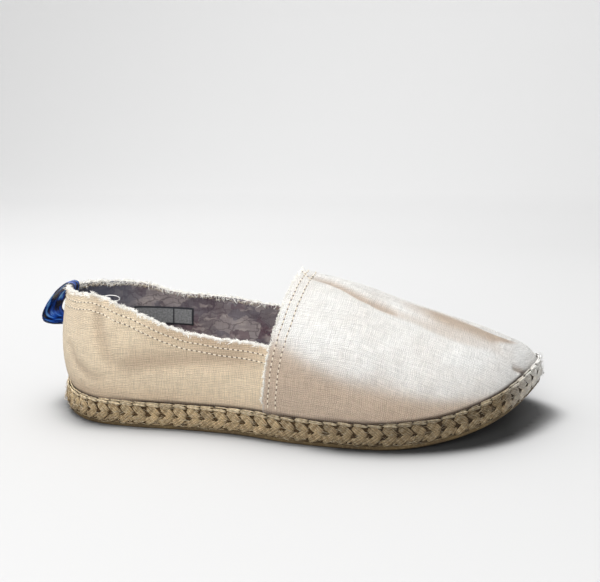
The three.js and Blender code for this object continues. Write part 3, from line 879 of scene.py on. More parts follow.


# %% [markdown]
# The panel is laid on the last and pressed in along its folds. Its painted shade follows from its
# height over the floor and from the folds.

# %% Quarters
around, climb = quarter_places(QUARTER_COLUMNS, QUARTER_ROWS, 5.0, 1.0, 3)
base = last_at(around, climb)
outward = outward_at(around, climb)
points = base + outward * relief(base)[..., None]
quarters = new_grid("canvas_quarters", QUARTER_COLUMNS, QUARTER_ROWS)
lay(quarters, points, outward)
share = share_of(np.abs(around))
# painted shade: bands of tan by their height over the floor and their reach, in millimetres
low_shade = np.exp(-((base[..., 2] - 12) / 9) ** 2)
low_shade = low_shade * np.interp(share, [0, 0.1, 0.3, 0.5], [1, 1, 0.6, 0.4])
high_shade = np.exp(-((base[..., 2] - 52) / 7) ** 2)
high_shade = high_shade * np.interp(share, [0.2, 0.34, 0.5], [0, 1, 0.7])
tone = 0.18 + 0.6 * low_shade + 0.8 * high_shade
band_height = np.interp(share, [0.15, 0.24, 0.38, 0.45], [33, 35, 39, 42])
band_shade = np.exp(-((base[..., 2] - band_height) / 7) ** 2)
band_shade = band_shade * np.interp(share, [0.12, 0.2, 0.36, 0.44, 0.47], [0, 0.8, 1, 1, 0.1])
# painted shade, deeper: in the creases and in the same bands
fold = 0.4 * np.clip(-relief(base) / 1.2, 0, 1) + 0.5 * high_shade + 0.42 * low_shade
fold = fold + 0.4 * band_shade
from_edge = arc_lengths(points, 0)
from_edge = from_edge[-1:] - from_edge
raw = np.clip(1.3 - from_edge / 1.1, 0, 1)
cloth_map(quarters, arc_lengths(points, 1)[QUARTER_ROWS // 2][None].repeat(QUARTER_ROWS + 1, 0),
          arc_lengths(points, 0), tone=np.clip(tone, 0, 1), fold=np.clip(fold, 0, 1), edge=raw,
          gap=gap_shade(base))
apply(quarters, "SOLIDIFY", thickness=CANVAS * MM, offset=-1)
dress(quarters, canvas_warm, "canvas", "upper")
COLLAR_LINE, COLLAR_OUT = points[-1], outward[-1]
QUARTER_POINTS, QUARTER_OUT, QUARTER_FROM_EDGE = points, outward, from_edge
print("quarters:", len(quarters.data.polygons), "faces")

# %% [markdown]
# ## Vamp
# The vamp is one piece of canvas over the toes and the instep. It lies on the quarters, so it is
# held a thread's thickness further out, and its rear edge is raw too.

# %% Vamp
VAMP_COLUMNS, VAMP_ROWS = 190, 190


def vamp_places(columns, rows, ragged, seed):
    across = np.linspace(-1, 1, rows + 1)
    climb = (1 - np.abs(across)) * HALF_PI
    side = np.where(across < 0, -1, 1)
    along = np.linspace(0, 1, columns + 1)
    rear = vamp_edge(climb) + edge_wobble(rows + 1, seed, ragged) / 130
    turn = rear[:, None] * (1 - along[None]) + np.pi * along[None]
    return side[:, None] * turn, np.broadcast_to(climb[:, None], turn.shape)


around, climb = vamp_places(VAMP_COLUMNS, VAMP_ROWS, 0.5, 5)
base = last_at(around, climb)
outward = outward_at(around, climb)
points = base + outward * (relief(base) + OVERLAY)[..., None]
vamp = new_grid("canvas_vamp", VAMP_COLUMNS, VAMP_ROWS)
lay(vamp, points, outward)
share = share_of(np.abs(around))
rise = climb / HALF_PI
# painted shade: tan on the low side of the vamp, less on the inner side
tan_top = np.interp(share, [0.48, 0.515, 0.554, 0.629, 0.684, 0.739, 0.794, 0.85, 0.909, 0.95],
                    [0.33, 0.296, 0.26, 0.206, 0.205, 0.203, 0.18, 0.16, 0.118, 0.04])
tone = 1 / (1 + np.exp((rise - tan_top) / 0.022)) * np.where(around < 0, 1, 0.8)
# painted shade: a lens of brown along the top towards the toe, and the creases
over_ridge = np.where(around < 0, rise, 2 - rise)
lens_middle = np.interp(share, [0.66, 0.78, 0.88, 0.96, 1.0], [0.96, 0.95, 0.90, 0.82, 0.76])
lens_half = np.interp(share, [0.64, 0.74, 0.84, 0.93, 0.985, 1.0],
                      [0.01, 0.1, 0.17, 0.16, 0.08, 0.01])
lens = np.exp(-1.3 * ((over_ridge - lens_middle) / lens_half) ** 4)
lens = lens * np.interp(share, [0.72, 0.82, 0.97, 0.995], [0, 1, 1, 0])
fold = np.clip(0.8 * lens + 0.7 * np.clip(-relief(base) / 2, 0, 1), 0, 1)
from_edge = arc_lengths(points, 1)
raw = 0.45 * np.clip(1.2 - from_edge / 1.0, 0, 1)
middle = VAMP_ROWS // 2
over = arc_lengths(points, 0)
# the painted shadow behind the braid fades out round the front of the toe
open_toe = np.interp(share, [0.955, 0.985], [1, 0.15])
cloth_map(vamp, from_edge, over - over[middle:middle + 1], tone=tone, fold=fold, edge=raw,
          gap=gap_shade(base) * open_toe)
VAMP_POINTS, VAMP_OUT, VAMP_FROM_EDGE = points, outward, from_edge
merge_seam(vamp)
apply(vamp, "SOLIDIFY", thickness=CANVAS * MM, offset=-1)
dress(vamp, canvas_pale, "canvas", "upper")
print("vamp:", len(vamp.data.polygons), "faces")

# %% [markdown]
# ## Lining
# The shoe is lined with a soft printed cotton, seen inside the collar. It is the same two patches
# of the last, set in by the thickness of the wall.

# %% Lining
around, climb = quarter_places(150, 30, 8.0, 0.3, 11)
points = skin_at(around, climb, relief(last_at(around, climb)) - WALL)
outward = outward_at(around, climb)
lining = new_grid("lining_quarters", 150, 30)
lay(lining, points, outward)
cloth_map(lining, arc_lengths(points, 1)[15][None].repeat(31, 0), arc_lengths(points, 0))
apply(lining, "SOLIDIFY", thickness=LINING_CLOTH * MM, offset=1)
dress(lining, lining_print, "insole_cloth", "upper")
around, climb = vamp_places(80, 90, 0.2, 12)
points = skin_at(around, climb, relief(last_at(around, climb)) - WALL + 0.1)
outward = outward_at(around, climb)
vamp_lining = new_grid("lining_vamp", 80, 90)
lay(vamp_lining, points, outward)
over = arc_lengths(points, 0)
cloth_map(vamp_lining, arc_lengths(points, 1), over - over[45:46])
merge_seam(vamp_lining)
apply(vamp_lining, "SOLIDIFY", thickness=LINING_CLOTH * MM, offset=1)
dress(vamp_lining, lining_print, "insole_cloth", "upper")
print("linings:", len(lining.data.polygons), "and", len(vamp_lining.data.polygons), "faces")


# %% [markdown]
# ## Seams and needle holes
# Two rows of stitches hold the collar and two hold the vamp's edge. Each stitch is a short plump
# thread between two needle holes, and the holes show as grey brown dots of painted shade.

# %% Lines of the seams
def walk_evenly(line, out, spacing):
    """Points of a line at an even spacing, with their outer side."""
    total = walked(line)
    at = np.arange(spacing / 2, total[-1] - spacing / 2, spacing)
    place = np.stack([np.interp(at, total, line[:, k]) for k in range(3)], -1)
    outer = np.stack([np.interp(at, total, out[:, k]) for k in range(3)], -1)
    return place, outer


def seam_line(points, out, from_edge, inset, axis):
    """The line on a panel that keeps one distance from its raw edge."""
    order = np.moveaxis(points, axis, 0)
    outer = np.moveaxis(out, axis, 0)
    inside = np.moveaxis(from_edge, axis, 0)
    line, side = [], []
    for k in range(order.shape[1]):
        rising = inside[:, k]
        sort = np.argsort(rising)
        line.append([np.interp(inset, rising[sort], order[sort, k, c]) for c in range(3)])
        side.append([np.interp(inset, rising[sort], outer[sort, k, c]) for c in range(3)])
    return np.array(line), np.array(side)


# %% [markdown]
# A stitch stands up in its middle and dives into the cloth at both ends.

# %% Rows of stitches
# in millimetres, and the seams by their distance from the raw edge
STITCH_PITCH, STITCH_LENGTH, THREAD_WIDTH, THREAD_HEIGHT = 2.7, 1.9, 0.6, 0.55
COLLAR_SEAMS, VAMP_SEAMS = (4.6, 8.4), (2.9, 7.0)


def smooth_line(line, passes):
    for _ in range(passes):
        line = np.concatenate([line[:1], (line[:-2] + line[1:-1] + line[2:]) / 3, line[-1:]])
    return line


def stitch_row(name, line, out):
    line = smooth_line(line, 6)
    place, outer = walk_evenly(line, out, STITCH_PITCH)
    ahead = np.gradient(place, axis=0)
    ahead /= np.linalg.norm(ahead, axis=1, keepdims=True)
    t = np.linspace(-0.5, 0.5, 5)
    arch = (1 - (2 * t) ** 2) * 0.28 - 0.16
    centres = (place[:, None] + ahead[:, None] * (t * STITCH_LENGTH)[None, :, None]
               + outer[:, None] * arch[None, :, None])
    outs = np.repeat(outer[:, None], 5, 1)
    thread = strands(name, centres, outs, THREAD_WIDTH, THREAD_HEIGHT, THREAD, 0.4)
    dress(thread, cotton_thread, "canvas")
    hole = (place[:-1] + place[1:]) / 2
    hole_out = outer[:-1]
    t = np.linspace(-0.5, 0.5, 3)
    centres = (hole[:, None] + ahead[:-1, None] * (t * 1.15)[None, :, None]
               + hole_out[:, None] * 0.08)
    outs = np.repeat(hole_out[:, None], 3, 1)
    # painted shade: a grey brown dot in each needle hole
    holes = strands(name + "_holes", centres, outs, 0.8, 0.3, HOLE, 0.5)
    dress(holes, needle_shadow, "canvas")


for index, inset in enumerate(COLLAR_SEAMS):
    line, out = seam_line(QUARTER_POINTS, QUARTER_OUT, QUARTER_FROM_EDGE, inset, 0)
    inside = slice(3, -3)
    stitch_row(f"collar_seam_{index + 1}", line[inside], out[inside])
for index, inset in enumerate(VAMP_SEAMS):
    line, out = seam_line(VAMP_POINTS, VAMP_OUT, VAMP_FROM_EDGE, inset, 1)
    inside = slice(3, -3)
    stitch_row(f"vamp_seam_{index + 1}", line[inside], out[inside])


# %% [markdown]
# The throat's outer corner, where the seams are pulled most, has a short row across them.

# %% Tack at the throat
tack_share, tack_climb = np.linspace(0.500, 0.536, 20), np.linspace(0.985, 0.84, 20) * HALF_PI
tack_turn = -turn_of(tack_share)
tack_base = last_at(tack_turn, tack_climb)
tack_out = outward_at(tack_turn, tack_climb)
tack_line = tack_base + tack_out * (relief(tack_base) + OVERLAY)[:, None]
stitch_row("throat_tack", tack_line, tack_out)

# %% [markdown]
# ## Fraying
# Where canvas is cut and left raw, the threads along the cut fall out and the crossing threads
# stand free. They are drawn as many fine curved fibres, longest at the collar.

# %% Loose fibres
def fray(name, line, out, toward, count, length, seed, material, thickness=0.24):
    """Fibres along a line, growing towards a direction with a random lean and curl."""
    rng = np.random.default_rng(seed)
    at = rng.uniform(0, len(line) - 1.001, count)
    low = at.astype(int)
    part = (at - low)[:, None]
    root = line[low] * (1 - part) + line[low + 1] * part
    outer = out[low]
    grow = toward[low]
    ahead = np.cross(outer, grow)
    lean = rng.normal(0, 0.55, (count, 1))
    lift = rng.normal(0.1, 0.35, (count, 1))
    aim = grow + ahead * lean + outer * lift
    aim /= np.linalg.norm(aim, axis=1, keepdims=True)
    curl = ahead * rng.normal(0, 0.6, (count, 1)) + outer * rng.normal(-0.1, 0.4, (count, 1))
    size = length * rng.uniform(0.25, 1.0, (count, 1)) ** 1.3
    t = np.linspace(0, 1, 6)[None, :, None]
    root = root - grow * 0.5 + outer * rng.uniform(-0.8, 0.05, (count, 1))
    centres = (root[:, None] + aim[:, None] * size[:, None] * t
               + curl[:, None] * size[:, None] * t ** 2)
    outs = np.repeat(outer[:, None], 6, 1)
    piece = strands(name, centres, outs, thickness, thickness, FINE, 0.35, rng.uniform(0, 1, count))
    return dress(piece, material, "canvas")


edge = slice(4, -4)
rise = QUARTER_POINTS[-1] - QUARTER_POINTS[-4]
rise /= np.linalg.norm(rise, axis=1, keepdims=True)
fray("collar_fray", COLLAR_LINE[edge], COLLAR_OUT[edge], rise[edge], 2400, 2.0, 21, white_fray,
     0.28)
inner_line = COLLAR_LINE[edge] - COLLAR_OUT[edge] * 1.5 - rise[edge] * 2.2
fray("collar_inner_fray", inner_line, -COLLAR_OUT[edge], rise[edge], 3400, 2.9, 23, tan_fray, 0.32)
fold_line = COLLAR_LINE[edge] - COLLAR_OUT[edge] * 1.5 + rise[edge] * 0.1
fray("collar_turned_fray", fold_line, -COLLAR_OUT[edge], -rise[edge], 3400, 3.5, 24, white_fray,
     0.36)
rear = VAMP_POINTS[:, 0] - VAMP_POINTS[:, 3]
rear /= np.linalg.norm(rear, axis=1, keepdims=True)
fray("vamp_fray", VAMP_POINTS[4:-4, 0], VAMP_OUT[4:-4, 0], rear[4:-4], 2800, 1.9, 22, white_fray)

# %% [markdown]
# One long thread has come out of the collar near the heel and lies in a loop.

# %% Thread loop
LOOP_PLACE, LOOP_SIZE = 0.148, (4.2, 3.0)
loop_turn = turn_of(np.array([LOOP_PLACE]))
loop_climb = collar_climb(loop_turn, -1)
loop_root = last_at(-loop_turn, loop_climb)[0]
loop_out = outward_at(-loop_turn, loop_climb)[0]
loop_angle = np.linspace(0.1, 5.9, 24)
loop_line = (loop_root + np.array([1.0, 0, 0]) * (LOOP_SIZE[0] * np.sin(loop_angle))[:, None]
             + np.array([0, 0, 1.0]) * (LOOP_SIZE[1] * (1 - np.cos(loop_angle)) / 2)[:, None]
             + loop_out * (0.5 + 0.3 * loop_angle)[:, None])
loop = strands("loose_thread", loop_line[None], np.repeat(loop_out[None, None], 24, 1), 0.32, 0.32,
               spindle_template(5, 26), 0.15)
dress(loop, white_fray, "canvas")

# %% [markdown]
# ## Jute sole
# The side of the sole is one plait of jute. In each turn a fat strand comes down from the top edge,
# another comes up to meet it with a thinner one behind, light yarns close the top and one cord runs
# along the foot. They lie on a dark core, painted shade, so the gaps between them look deep.

# %% Places round the sole
walk_around = np.linspace(0, -2 * np.pi, 1441)
walk_points = outline_at(walk_around)
walk_length = walked(walk_points)
PERIMETER = walk_length[-1]
STRAND_PITCH = PERIMETER / round(PERIMETER / 7.25)
BRAID_LEAN = 1.3
TURNS = round(PERIMETER / STRAND_PITCH)
print("braid:", TURNS, "turns of", round(STRAND_PITCH, 2), "mm")


def braid_at(distance, up_share, out):
    """A point on the braid's side: distance round the sole, share of its height and proudness."""
    around = np.interp(np.mod(distance, PERIMETER), walk_length, walk_around)
    plan = inset_at(around, BRAID_LEAN * up_share - out)
    share = share_at(plan[..., 0])
    low = underside(share) + RUBBER + GAP
    return np.concatenate([plan, (low + (braid_top(share) - low) * up_share)[..., None]], -1)


def braid_out(distance):
    around = np.interp(np.mod(distance, PERIMETER), walk_length, walk_around)
    out = inset_at(around, np.full(around.shape, -1.0)) - inset_at(around, np.zeros(around.shape))
    return np.concatenate([out, np.zeros(around.shape + (1,))], -1)


# %% [markdown]
# Jute is a coarse fibre, so its colour is streaked along the strand. The braid is painted darker
# along the forefoot as shade, and almost white at the very toe as a painted highlight.

# %% Jute finishes
def jute_material(name, light, mid, dark, stripe, toe_highlight):
    material, tree, shader, cloth = cloth_material(name)
    fibre = noise(tree, stretched(tree, cloth, (0.22, stripe, 1)), 1.0, 4, 0.65)
    fine = noise(tree, stretched(tree, cloth, (0.5, stripe * 3, 1)), 1.0, 3, 0.7)
    lone = painted(tree, "tint")
    base = mix_colour(tree, remap(tree, fibre, 0.42, 0.60), dark, mid)
    base = mix_colour(tree, remap(tree, fine, 0.47, 0.66, 0.0, 0.9), base, light)
    shade = remap(tree, lone, 0.0, 1.0, 0.52, 1.22)
    base = mix_colour(tree, 1.0, base, shade, "MULTIPLY")
    along = axes_of(tree, place_of(tree))[0]
    # painted shade: darker along the forefoot
    shaded = remap(tree, along, -0.02, 0.06, 1.12, 0.62)
    base = mix_colour(tree, 1.0, base, shaded, "MULTIPLY")
    # painted highlight: almost white at the very toe
    toe_highlight_share = remap(tree, along, 0.113, 0.134, 0.0, toe_highlight)
    base = mix_colour(tree, toe_highlight_share, base, colour(248, 247, 243))
    tree.links.new(base, shader.inputs["Base Color"])
    shader.inputs["Roughness"].default_value = 0.85
    shader.inputs["Specular IOR Level"].default_value = 0.3
    both = math_node(tree, "ADD", fibre, math_node(tree, "MULTIPLY", fine, 0.7))
    bump(tree, shader, both, 0.8, 1.0)
    return material


jute = jute_material("jute_strand", colour(248, 230, 192), colour(188, 160, 118),
                     colour(104, 80, 52), 2.2, 0.68)
# painted highlight: a lighter copy of the jute for the yarns along the top and the loose fibres
jute_light = jute_material("jute_bight", colour(255, 246, 220), colour(226, 204, 166),
                           colour(148, 122, 88), 2.6, 0.95)
# painted shade: the core is a dark copy of the jute, so the gaps look deep
jute_dark = jute_material("jute_core", colour(112, 87, 55), colour(78, 59, 36),
                          colour(46, 34, 21), 1.2, 0.05)
print("jute:", jute.name, jute_light.name, jute_dark.name)

# %% [markdown]
# The core fills the sole behind the plait and closes it on top, just below the insole.

# %% Core of the sole
CORE_COLUMNS = 360
core_rows = [(0.0, -2.0), (0.04, -1.3), (0.5, -1.5), (0.9, -1.2), (0.97, -1.6)]
distance = np.linspace(0, PERIMETER, CORE_COLUMNS + 1)
rows = [braid_at(distance, np.full(distance.shape, u), np.full(distance.shape, o))
        for u, o in core_rows]
lip_around = np.interp(distance, walk_length, walk_around)
for inset, drop in ((3.1, 0.5), (3.1, LIP)):
    plan = inset_at(lip_around, np.full(distance.shape, inset))
    rows.append(np.concatenate([plan, (braid_top(share_at(plan[:, 0])) - drop)[:, None]], -1))
for share in (0.7, 0.35, 0.02):
    ring = rows[6].copy()
    centre_y = ridge_side(ring[:, 0])
    ring[:, 1] = centre_y + (ring[:, 1] - centre_y) * share
    ring[:, 2] = deck(share_at(ring[:, 0]))
    rows.append(ring)
points = np.stack(rows)
core = new_grid("jute_core", CORE_COLUMNS, len(rows) - 1)
lay(core, points, np.concatenate([points[:5] - points.mean((0, 1)), points[5:] * 0 + (0, 0, 1)]))
cloth_map(core, distance[None].repeat(len(rows), 0), arc_lengths(points, 0),
          tint=np.full(points.shape[:2], 0.5))
merge_seam(core)
dress(core, jute_dark, "jute", "jute_sole")
print("core:", len(core.data.polygons), "faces")


# %% [markdown]
# A strand is a bundle of yarns side by side. All turns of the plait are the same bundle, set one
# pitch further on and shaken a little, so that no two are quite alike.

# %% Plaited strands
BRAID_HEIGHT, STRAND_SHAKE = 11.2, 0.22


def plait(name, start, end, bulge, width, thickness, yarns, material, seed):
    """A bundle of yarns in each turn of the plait, from start to end as (turn, height)."""
    rng = np.random.default_rng(seed)
    t = np.linspace(0, 1, 9)[None, None]
    bend = np.sin(np.pi * t)
    first = np.arange(TURNS)[:, None, None] * STRAND_PITCH
    shake = rng.normal(0, STRAND_SHAKE, (TURNS, 4))[:, :, None, None]
    run, climb = STRAND_PITCH * (end[0] - start[0]), BRAID_HEIGHT * (end[1] - start[1])
    slant = math.hypot(run, climb)
    order = (np.arange(yarns) - (yarns - 1) / 2)[None, :, None] / yarns
    cross = rng.uniform(0, 6.28, (TURNS, yarns, 1))
    aside = width * (order * (0.62 + 0.38 * bend) + 0.16 / yarns * np.sin(4 * t + cross))
    along = first + STRAND_PITCH * (start[0] + (end[0] - start[0]) * t) + shake[:, 0]
    along = along - aside * climb / slant + 0.5 * bend * shake[:, 3]
    height = start[1] + (end[1] - start[1]) * t + 0.05 * bend * start[2] + 0.04 * shake[:, 1]
    height = height + aside * run / slant / BRAID_HEIGHT
    out = bulge[0] + (bulge[1] - bulge[0]) * bend ** 0.7 + 0.4 * shake[:, 2]
    out = out - thickness * 0.9 * order ** 2 + rng.normal(0, 0.08, (TURNS, yarns, 1))
    count = TURNS * yarns
    along, height, out = (np.broadcast_to(v, (TURNS, yarns, 9)).reshape(count, 9)
                          for v in (along, height, out))
    centres, outs = braid_at(along, height, out), braid_out(along)
    wide = width / yarns * 1.15 * (1 + rng.normal(0, 0.12, count))
    template = PLUMP if yarns == 1 else THREAD
    tint = np.repeat(rng.uniform(0, 0.4, TURNS), yarns) + rng.uniform(0, 0.25, count)
    tint = tint + 0.4 * (np.arange(count) % 2)
    piece = strands(name, centres, outs, wide, np.minimum(wide * 1.3, thickness), template, 0.3,
                    tint)
    return dress(piece, material, "jute", "jute_sole")


plait("braid_upper", (-0.10, 0.88, 0.4), (0.98, 0.34, 0), (-1.9, -0.75), 4.2, 2.4, 7, jute, 31)
plait("braid_lower", (-0.12, 0.0, -0.3), (0.90, 0.50, 0), (-1.8, -0.7), 3.7, 2.2, 6, jute, 32)
plait("braid_lower_second", (0.40, -0.01, -0.2), (1.30, 0.42, 0), (-2.4, -1.4), 2.2, 1.8, 4, jute,
      33)
plait("braid_bight", (-0.12, 0.94, 0.6), (0.98, 0.86, 0), (-1.1, -0.35), 1.4, 1.2, 3, jute_light,
      34)
plait("braid_edge", (-0.1, 0.98, 0.3), (1.05, 0.95, 0), (-2.1, -1.6), 0.9, 0.9, 2, jute_light, 35)
plait("braid_hem", (-0.1, 0.03, 0.2), (1.1, 0.01, 0), (-2.4, -1.9), 1.0, 1.0, 1, jute, 36)

# %% [markdown]
# Jute sheds. Short fibres stand off the braid at random, with a fixed seed.

# %% Stray jute fibres
rng = np.random.default_rng(41)
count = 1500
distance = rng.uniform(0, PERIMETER, count)
t = np.linspace(0, 1, 6)[None]
size = rng.uniform(1.5, 6.0, (count, 1))
rise = rng.uniform(0.05, 0.98, (count, 1))
run = distance[:, None] + size * t * rng.choice([-1, 1], (count, 1))
climbs = np.clip(rise + rng.normal(0, 0.12, (count, 1)) * t, 0.02, 1.06)
proud = -0.1 + rng.uniform(0, 0.9, (count, 1)) * np.sin(np.pi * t)
fibres = strands("jute_fibres", braid_at(run, climbs, proud), braid_out(run), 0.2, 0.2, FINE, 0.3,
                 rng.uniform(0, 1, count))
dress(fibres, jute_light, "jute")


# %% [markdown]
# ## Rubber outsole
# The thin gum sole keeps its solid. Moulded rubber is dull and slightly mottled, dusty low down,
# and its tread is fine wavy lines, which are bump alone.

# %% Rubber finish
def rubber_material():
    material = bpy.data.materials.new("gum_rubber")
    material.use_nodes = True
    tree = material.node_tree
    shader = tree.nodes["Principled BSDF"]
    place = place_of(tree)
    mottle = noise(tree, place, 90, 4)
    grit = noise(tree, place, 900, 3)
    tread = tree.nodes.new("ShaderNodeTexWave")
    tread.inputs["Scale"].default_value = 55
    tread.inputs["Distortion"].default_value = 3.5
    tread.inputs["Detail Scale"].default_value = 0.6
    tree.links.new(place, tread.inputs["Vector"])
    base = mix_colour(tree, remap(tree, mottle, 0.35, 0.7), colour(72, 56, 31), colour(94, 76, 43))
    base = mix_colour(tree, remap(tree, grit, 0.5, 0.8, 0.0, 0.5), base, colour(150, 132, 98))
    tree.links.new(base, shader.inputs["Base Color"])
    tree.links.new(remap(tree, grit, 0.3, 0.7, 0.55, 0.8), shader.inputs["Roughness"])
    bump(tree, shader, math_node(tree, "ADD", tread.outputs["Fac"], grit), 0.5, 0.7)
    return material


def finish_node(name, material):
    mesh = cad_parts[name].data
    mesh.materials.clear()
    mesh.materials.append(material)


finish_node("outsole", rubber_material())
print("outsole wears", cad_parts["outsole"].data.materials[0].name)

# %% [markdown]
# ## Insole
# A thin foam sheet under printed cloth. It dips a little where the heel and the ball press.

# %% Insole
around = np.linspace(-np.pi, np.pi, 181)
foot_height = np.full(around.shape, 3.0)
inward = np.full(around.shape, -(WALL + INNER_GAP))
rim = skin_at(around, climb_for(np.abs(around), foot_height), inward)
centre = ridge_side(rim[:, 0])
rings = []
for share, height in ((1.0, 0.1), (1.0, 2.3), (0.985, 2.8), (0.96, 3.0), (0.7, 2.8), (0.4, 2.6),
                      (0.2, 2.6), (0.0, 2.6)):
    ring = rim.copy()
    ring[:, 1] = centre + (rim[:, 1] - centre) * share
    ring[:, 0] = rim[:, 0] * (0.98 + 0.02 * share)
    ring[:, 2] = deck(share_at(ring[:, 0])) + GAP + height
    rings.append(ring)
points = np.stack(rings)
insole = new_grid("printed_insole", 180, len(rings) - 1)
lay(insole, points, np.concatenate([points[:2] - points.mean((0, 1)), points[2:] * 0 + (0, 0, 1)]))
cloth_map(insole, points[..., 0], points[..., 1])
merge_seam(insole)
dress(insole, insole_print, "insole_cloth", "insole")
print("insole:", len(insole.data.polygons), "faces")

# %% [markdown]
# ## Label
# The size label is a woven patch sewn to the inner side of the lining. It is left bare: a grey
# ground with a darker woven border and a bar that parts its two fields.


# %% Label finish
def label_material(width, height):
    material, tree, shader, cloth = cloth_material("bare_label")
    parts = axes_of(tree, cloth)
    from_side = math_node(tree, "MINIMUM", parts[0],
                          math_node(tree, "SUBTRACT", width, parts[0]))
    from_top = math_node(tree, "MINIMUM", parts[1],
                         math_node(tree, "SUBTRACT", height, parts[1]))
    inside = math_node(tree, "MINIMUM", from_side, from_top)
    border = remap(tree, inside, 1.1, 0.9)
    bar = math_node(tree, "ABSOLUTE", math_node(tree, "SUBTRACT", parts[0], width * 0.66))
    lines = math_node(tree, "MAXIMUM", border, remap(tree, bar, 0.5, 0.35))
    worn = noise(tree, cloth, 0.9, 4)
    base = mix_colour(tree, remap(tree, worn, 0.3, 0.75), colour(112, 114, 116),
                      colour(158, 159, 160))
    base = mix_colour(tree, lines, base, colour(44, 46, 52))
    tree.links.new(base, shader.inputs["Base Color"])
    shader.inputs["Roughness"].default_value = 0.8
    height_out, _ = weave(tree, cloth, 0.35, 0.4)
    bump(tree, shader, height_out, 0.08, 0.6)
    return material


# %% [markdown]
# The patch lies on the lining, between two places along the shoe and two heights, and its ends
# curl away a little.

# %% Label
LABEL_REAR, LABEL_FRONT, LABEL_LOW, LABEL_HIGH = 0.108, 0.253, 28.0, 39.0
LABEL_MIDDLE = (LABEL_REAR + LABEL_FRONT) / 2
share, high = np.meshgrid(np.linspace(LABEL_REAR, LABEL_FRONT, 41),
                          np.linspace(LABEL_LOW, LABEL_HIGH, 13))
turn = turn_of(share)
climb = climb_for(turn, high)
curl = 0.35 * np.clip((np.abs(share - LABEL_MIDDLE) - 0.055) / 0.0175, 0, 1) ** 2
points = skin_at(turn, climb, relief(last_at(turn, climb)) - (WALL + INNER_GAP + curl))
label = new_grid("woven_label", 40, 12)
lay(label, points, -outward_at(turn, climb))
along_label = arc_lengths(points, 1)
up_label = arc_lengths(points, 0)
cloth_map(label, along_label, up_label)
apply(label, "SOLIDIFY", thickness=LABEL_CLOTH * MM, offset=-1)
dress(label, label_material(float(along_label[6, -1]), float(up_label[-1, 20])), "label_cloth",
      "size_label")
print("label:", along_label[6, -1].round(1), "mm by", up_label[-1, 20].round(1), "mm")

# %% [markdown]
# ## Pull tab
# A satin ribbon is folded over the collar at the heel and stands out in a loop. It is bowed across
# its width like the heel, its edges have a narrow woven selvedge, and its satin is glossy, with
# light and dark streaks of painted reflection.


# %% Ribbon finish
def ribbon_material(width):
    material, tree, shader, cloth = cloth_material("satin_ribbon")
    parts = axes_of(tree, cloth)
    edge_share = math_node(tree, "ABSOLUTE", parts[1])
    selvedge = remap(tree, edge_share, width / 2 - 0.8, width / 2 - 0.5)
    grain = noise(tree, stretched(tree, cloth, (0.3, 6, 1)), 1.0, 3)
    painted_satin_sheen = noise(tree, stretched(tree, cloth, (0.09, 0.42, 1)), 1.0, 2)
    # painted reflection: streaks from near black through the ribbon's blue to a pale blue highlight
    base = mix_colour(tree, remap(tree, painted_satin_sheen, 0.45, 0.58), colour(10, 16, 40),
                      colour(34, 84, 184))
    base = mix_colour(tree, remap(tree, painted_satin_sheen, 0.57, 0.67), base, colour(120, 186, 240))
    base = mix_colour(tree, math_node(tree, "MULTIPLY", selvedge, 0.6), base, colour(10, 18, 52))
    tree.links.new(base, shader.inputs["Base Color"])
    tree.links.new(remap(tree, grain, 0.3, 0.7, 0.16, 0.3), shader.inputs["Roughness"])
    shader.inputs["Coat Weight"].default_value = 0.4
    shader.inputs["Coat Roughness"].default_value = 0.12
    height = math_node(tree, "ADD", grain, math_node(tree, "MULTIPLY", selvedge, 0.6))
    bump(tree, shader, height, 0.1, 0.5)
    return material


# %% [markdown]
# The ribbon starts inside the heel, turns over the collar, hangs in a loop and comes back to the
# wall. Its way is a few given points, joined smoothly.

# %% Way of the ribbon
# height over the collar's edge and distance behind the wall there
TAB_ROWS = [(-8, -3.5), (-2, -3.5), (0.8, -2.9), (1.7, -1), (1.4, 1.4), (-3, 6), (-9, 9.3),
            (-14.5, 11.3), (-18, 10.3), (-19.7, 6.5), (-20, 0.8)]
TAB_WIDTH, TAB_COLUMNS, TAB_ROWS_FINE = 12.0, 24, 90
zero = np.zeros(1)
edge_climb = collar_climb(zero, 1)
collar_height = last_at(zero, edge_climb)[0, 2]


def wall_back(height):
    climb = np.minimum(edge_climb, climb_for(zero, height - deck(0.0) - GAP))
    return last_at(zero, climb)[0, 0]


path = np.array([(wall_back(collar_height + u) - o, collar_height + u) for u, o in TAB_ROWS])


def through(path, count):
    """A smooth line through given points, at an even spacing."""
    ends = np.concatenate([2 * path[:1] - path[1:2], path, 2 * path[-1:] - path[-2:-1]])
    out = []
    for i in range(1, len(ends) - 2):
        p0, p1, p2, p3 = ends[i - 1:i + 3]
        for t in np.linspace(0, 1, 24, endpoint=False):
            out.append(0.5 * (2 * p1 + (p2 - p0) * t + (2 * p0 - 5 * p1 + 4 * p2 - p3) * t ** 2
                              + (3 * p1 - p0 - 3 * p2 + p3) * t ** 3))
    out = np.array(out + [path[-1]])
    total = walked(out)
    at = np.linspace(0, total[-1], count)
    return np.stack([np.interp(at, total, out[:, k]) for k in range(2)], -1)


centre = through(path, TAB_ROWS_FINE + 1)
print("ribbon:", walked(centre)[-1].round(1), "mm long and", TAB_WIDTH, "mm wide")

# %% [markdown]
# Across its width the ribbon is gathered where it is sewn, and it turns and lifts to one side.

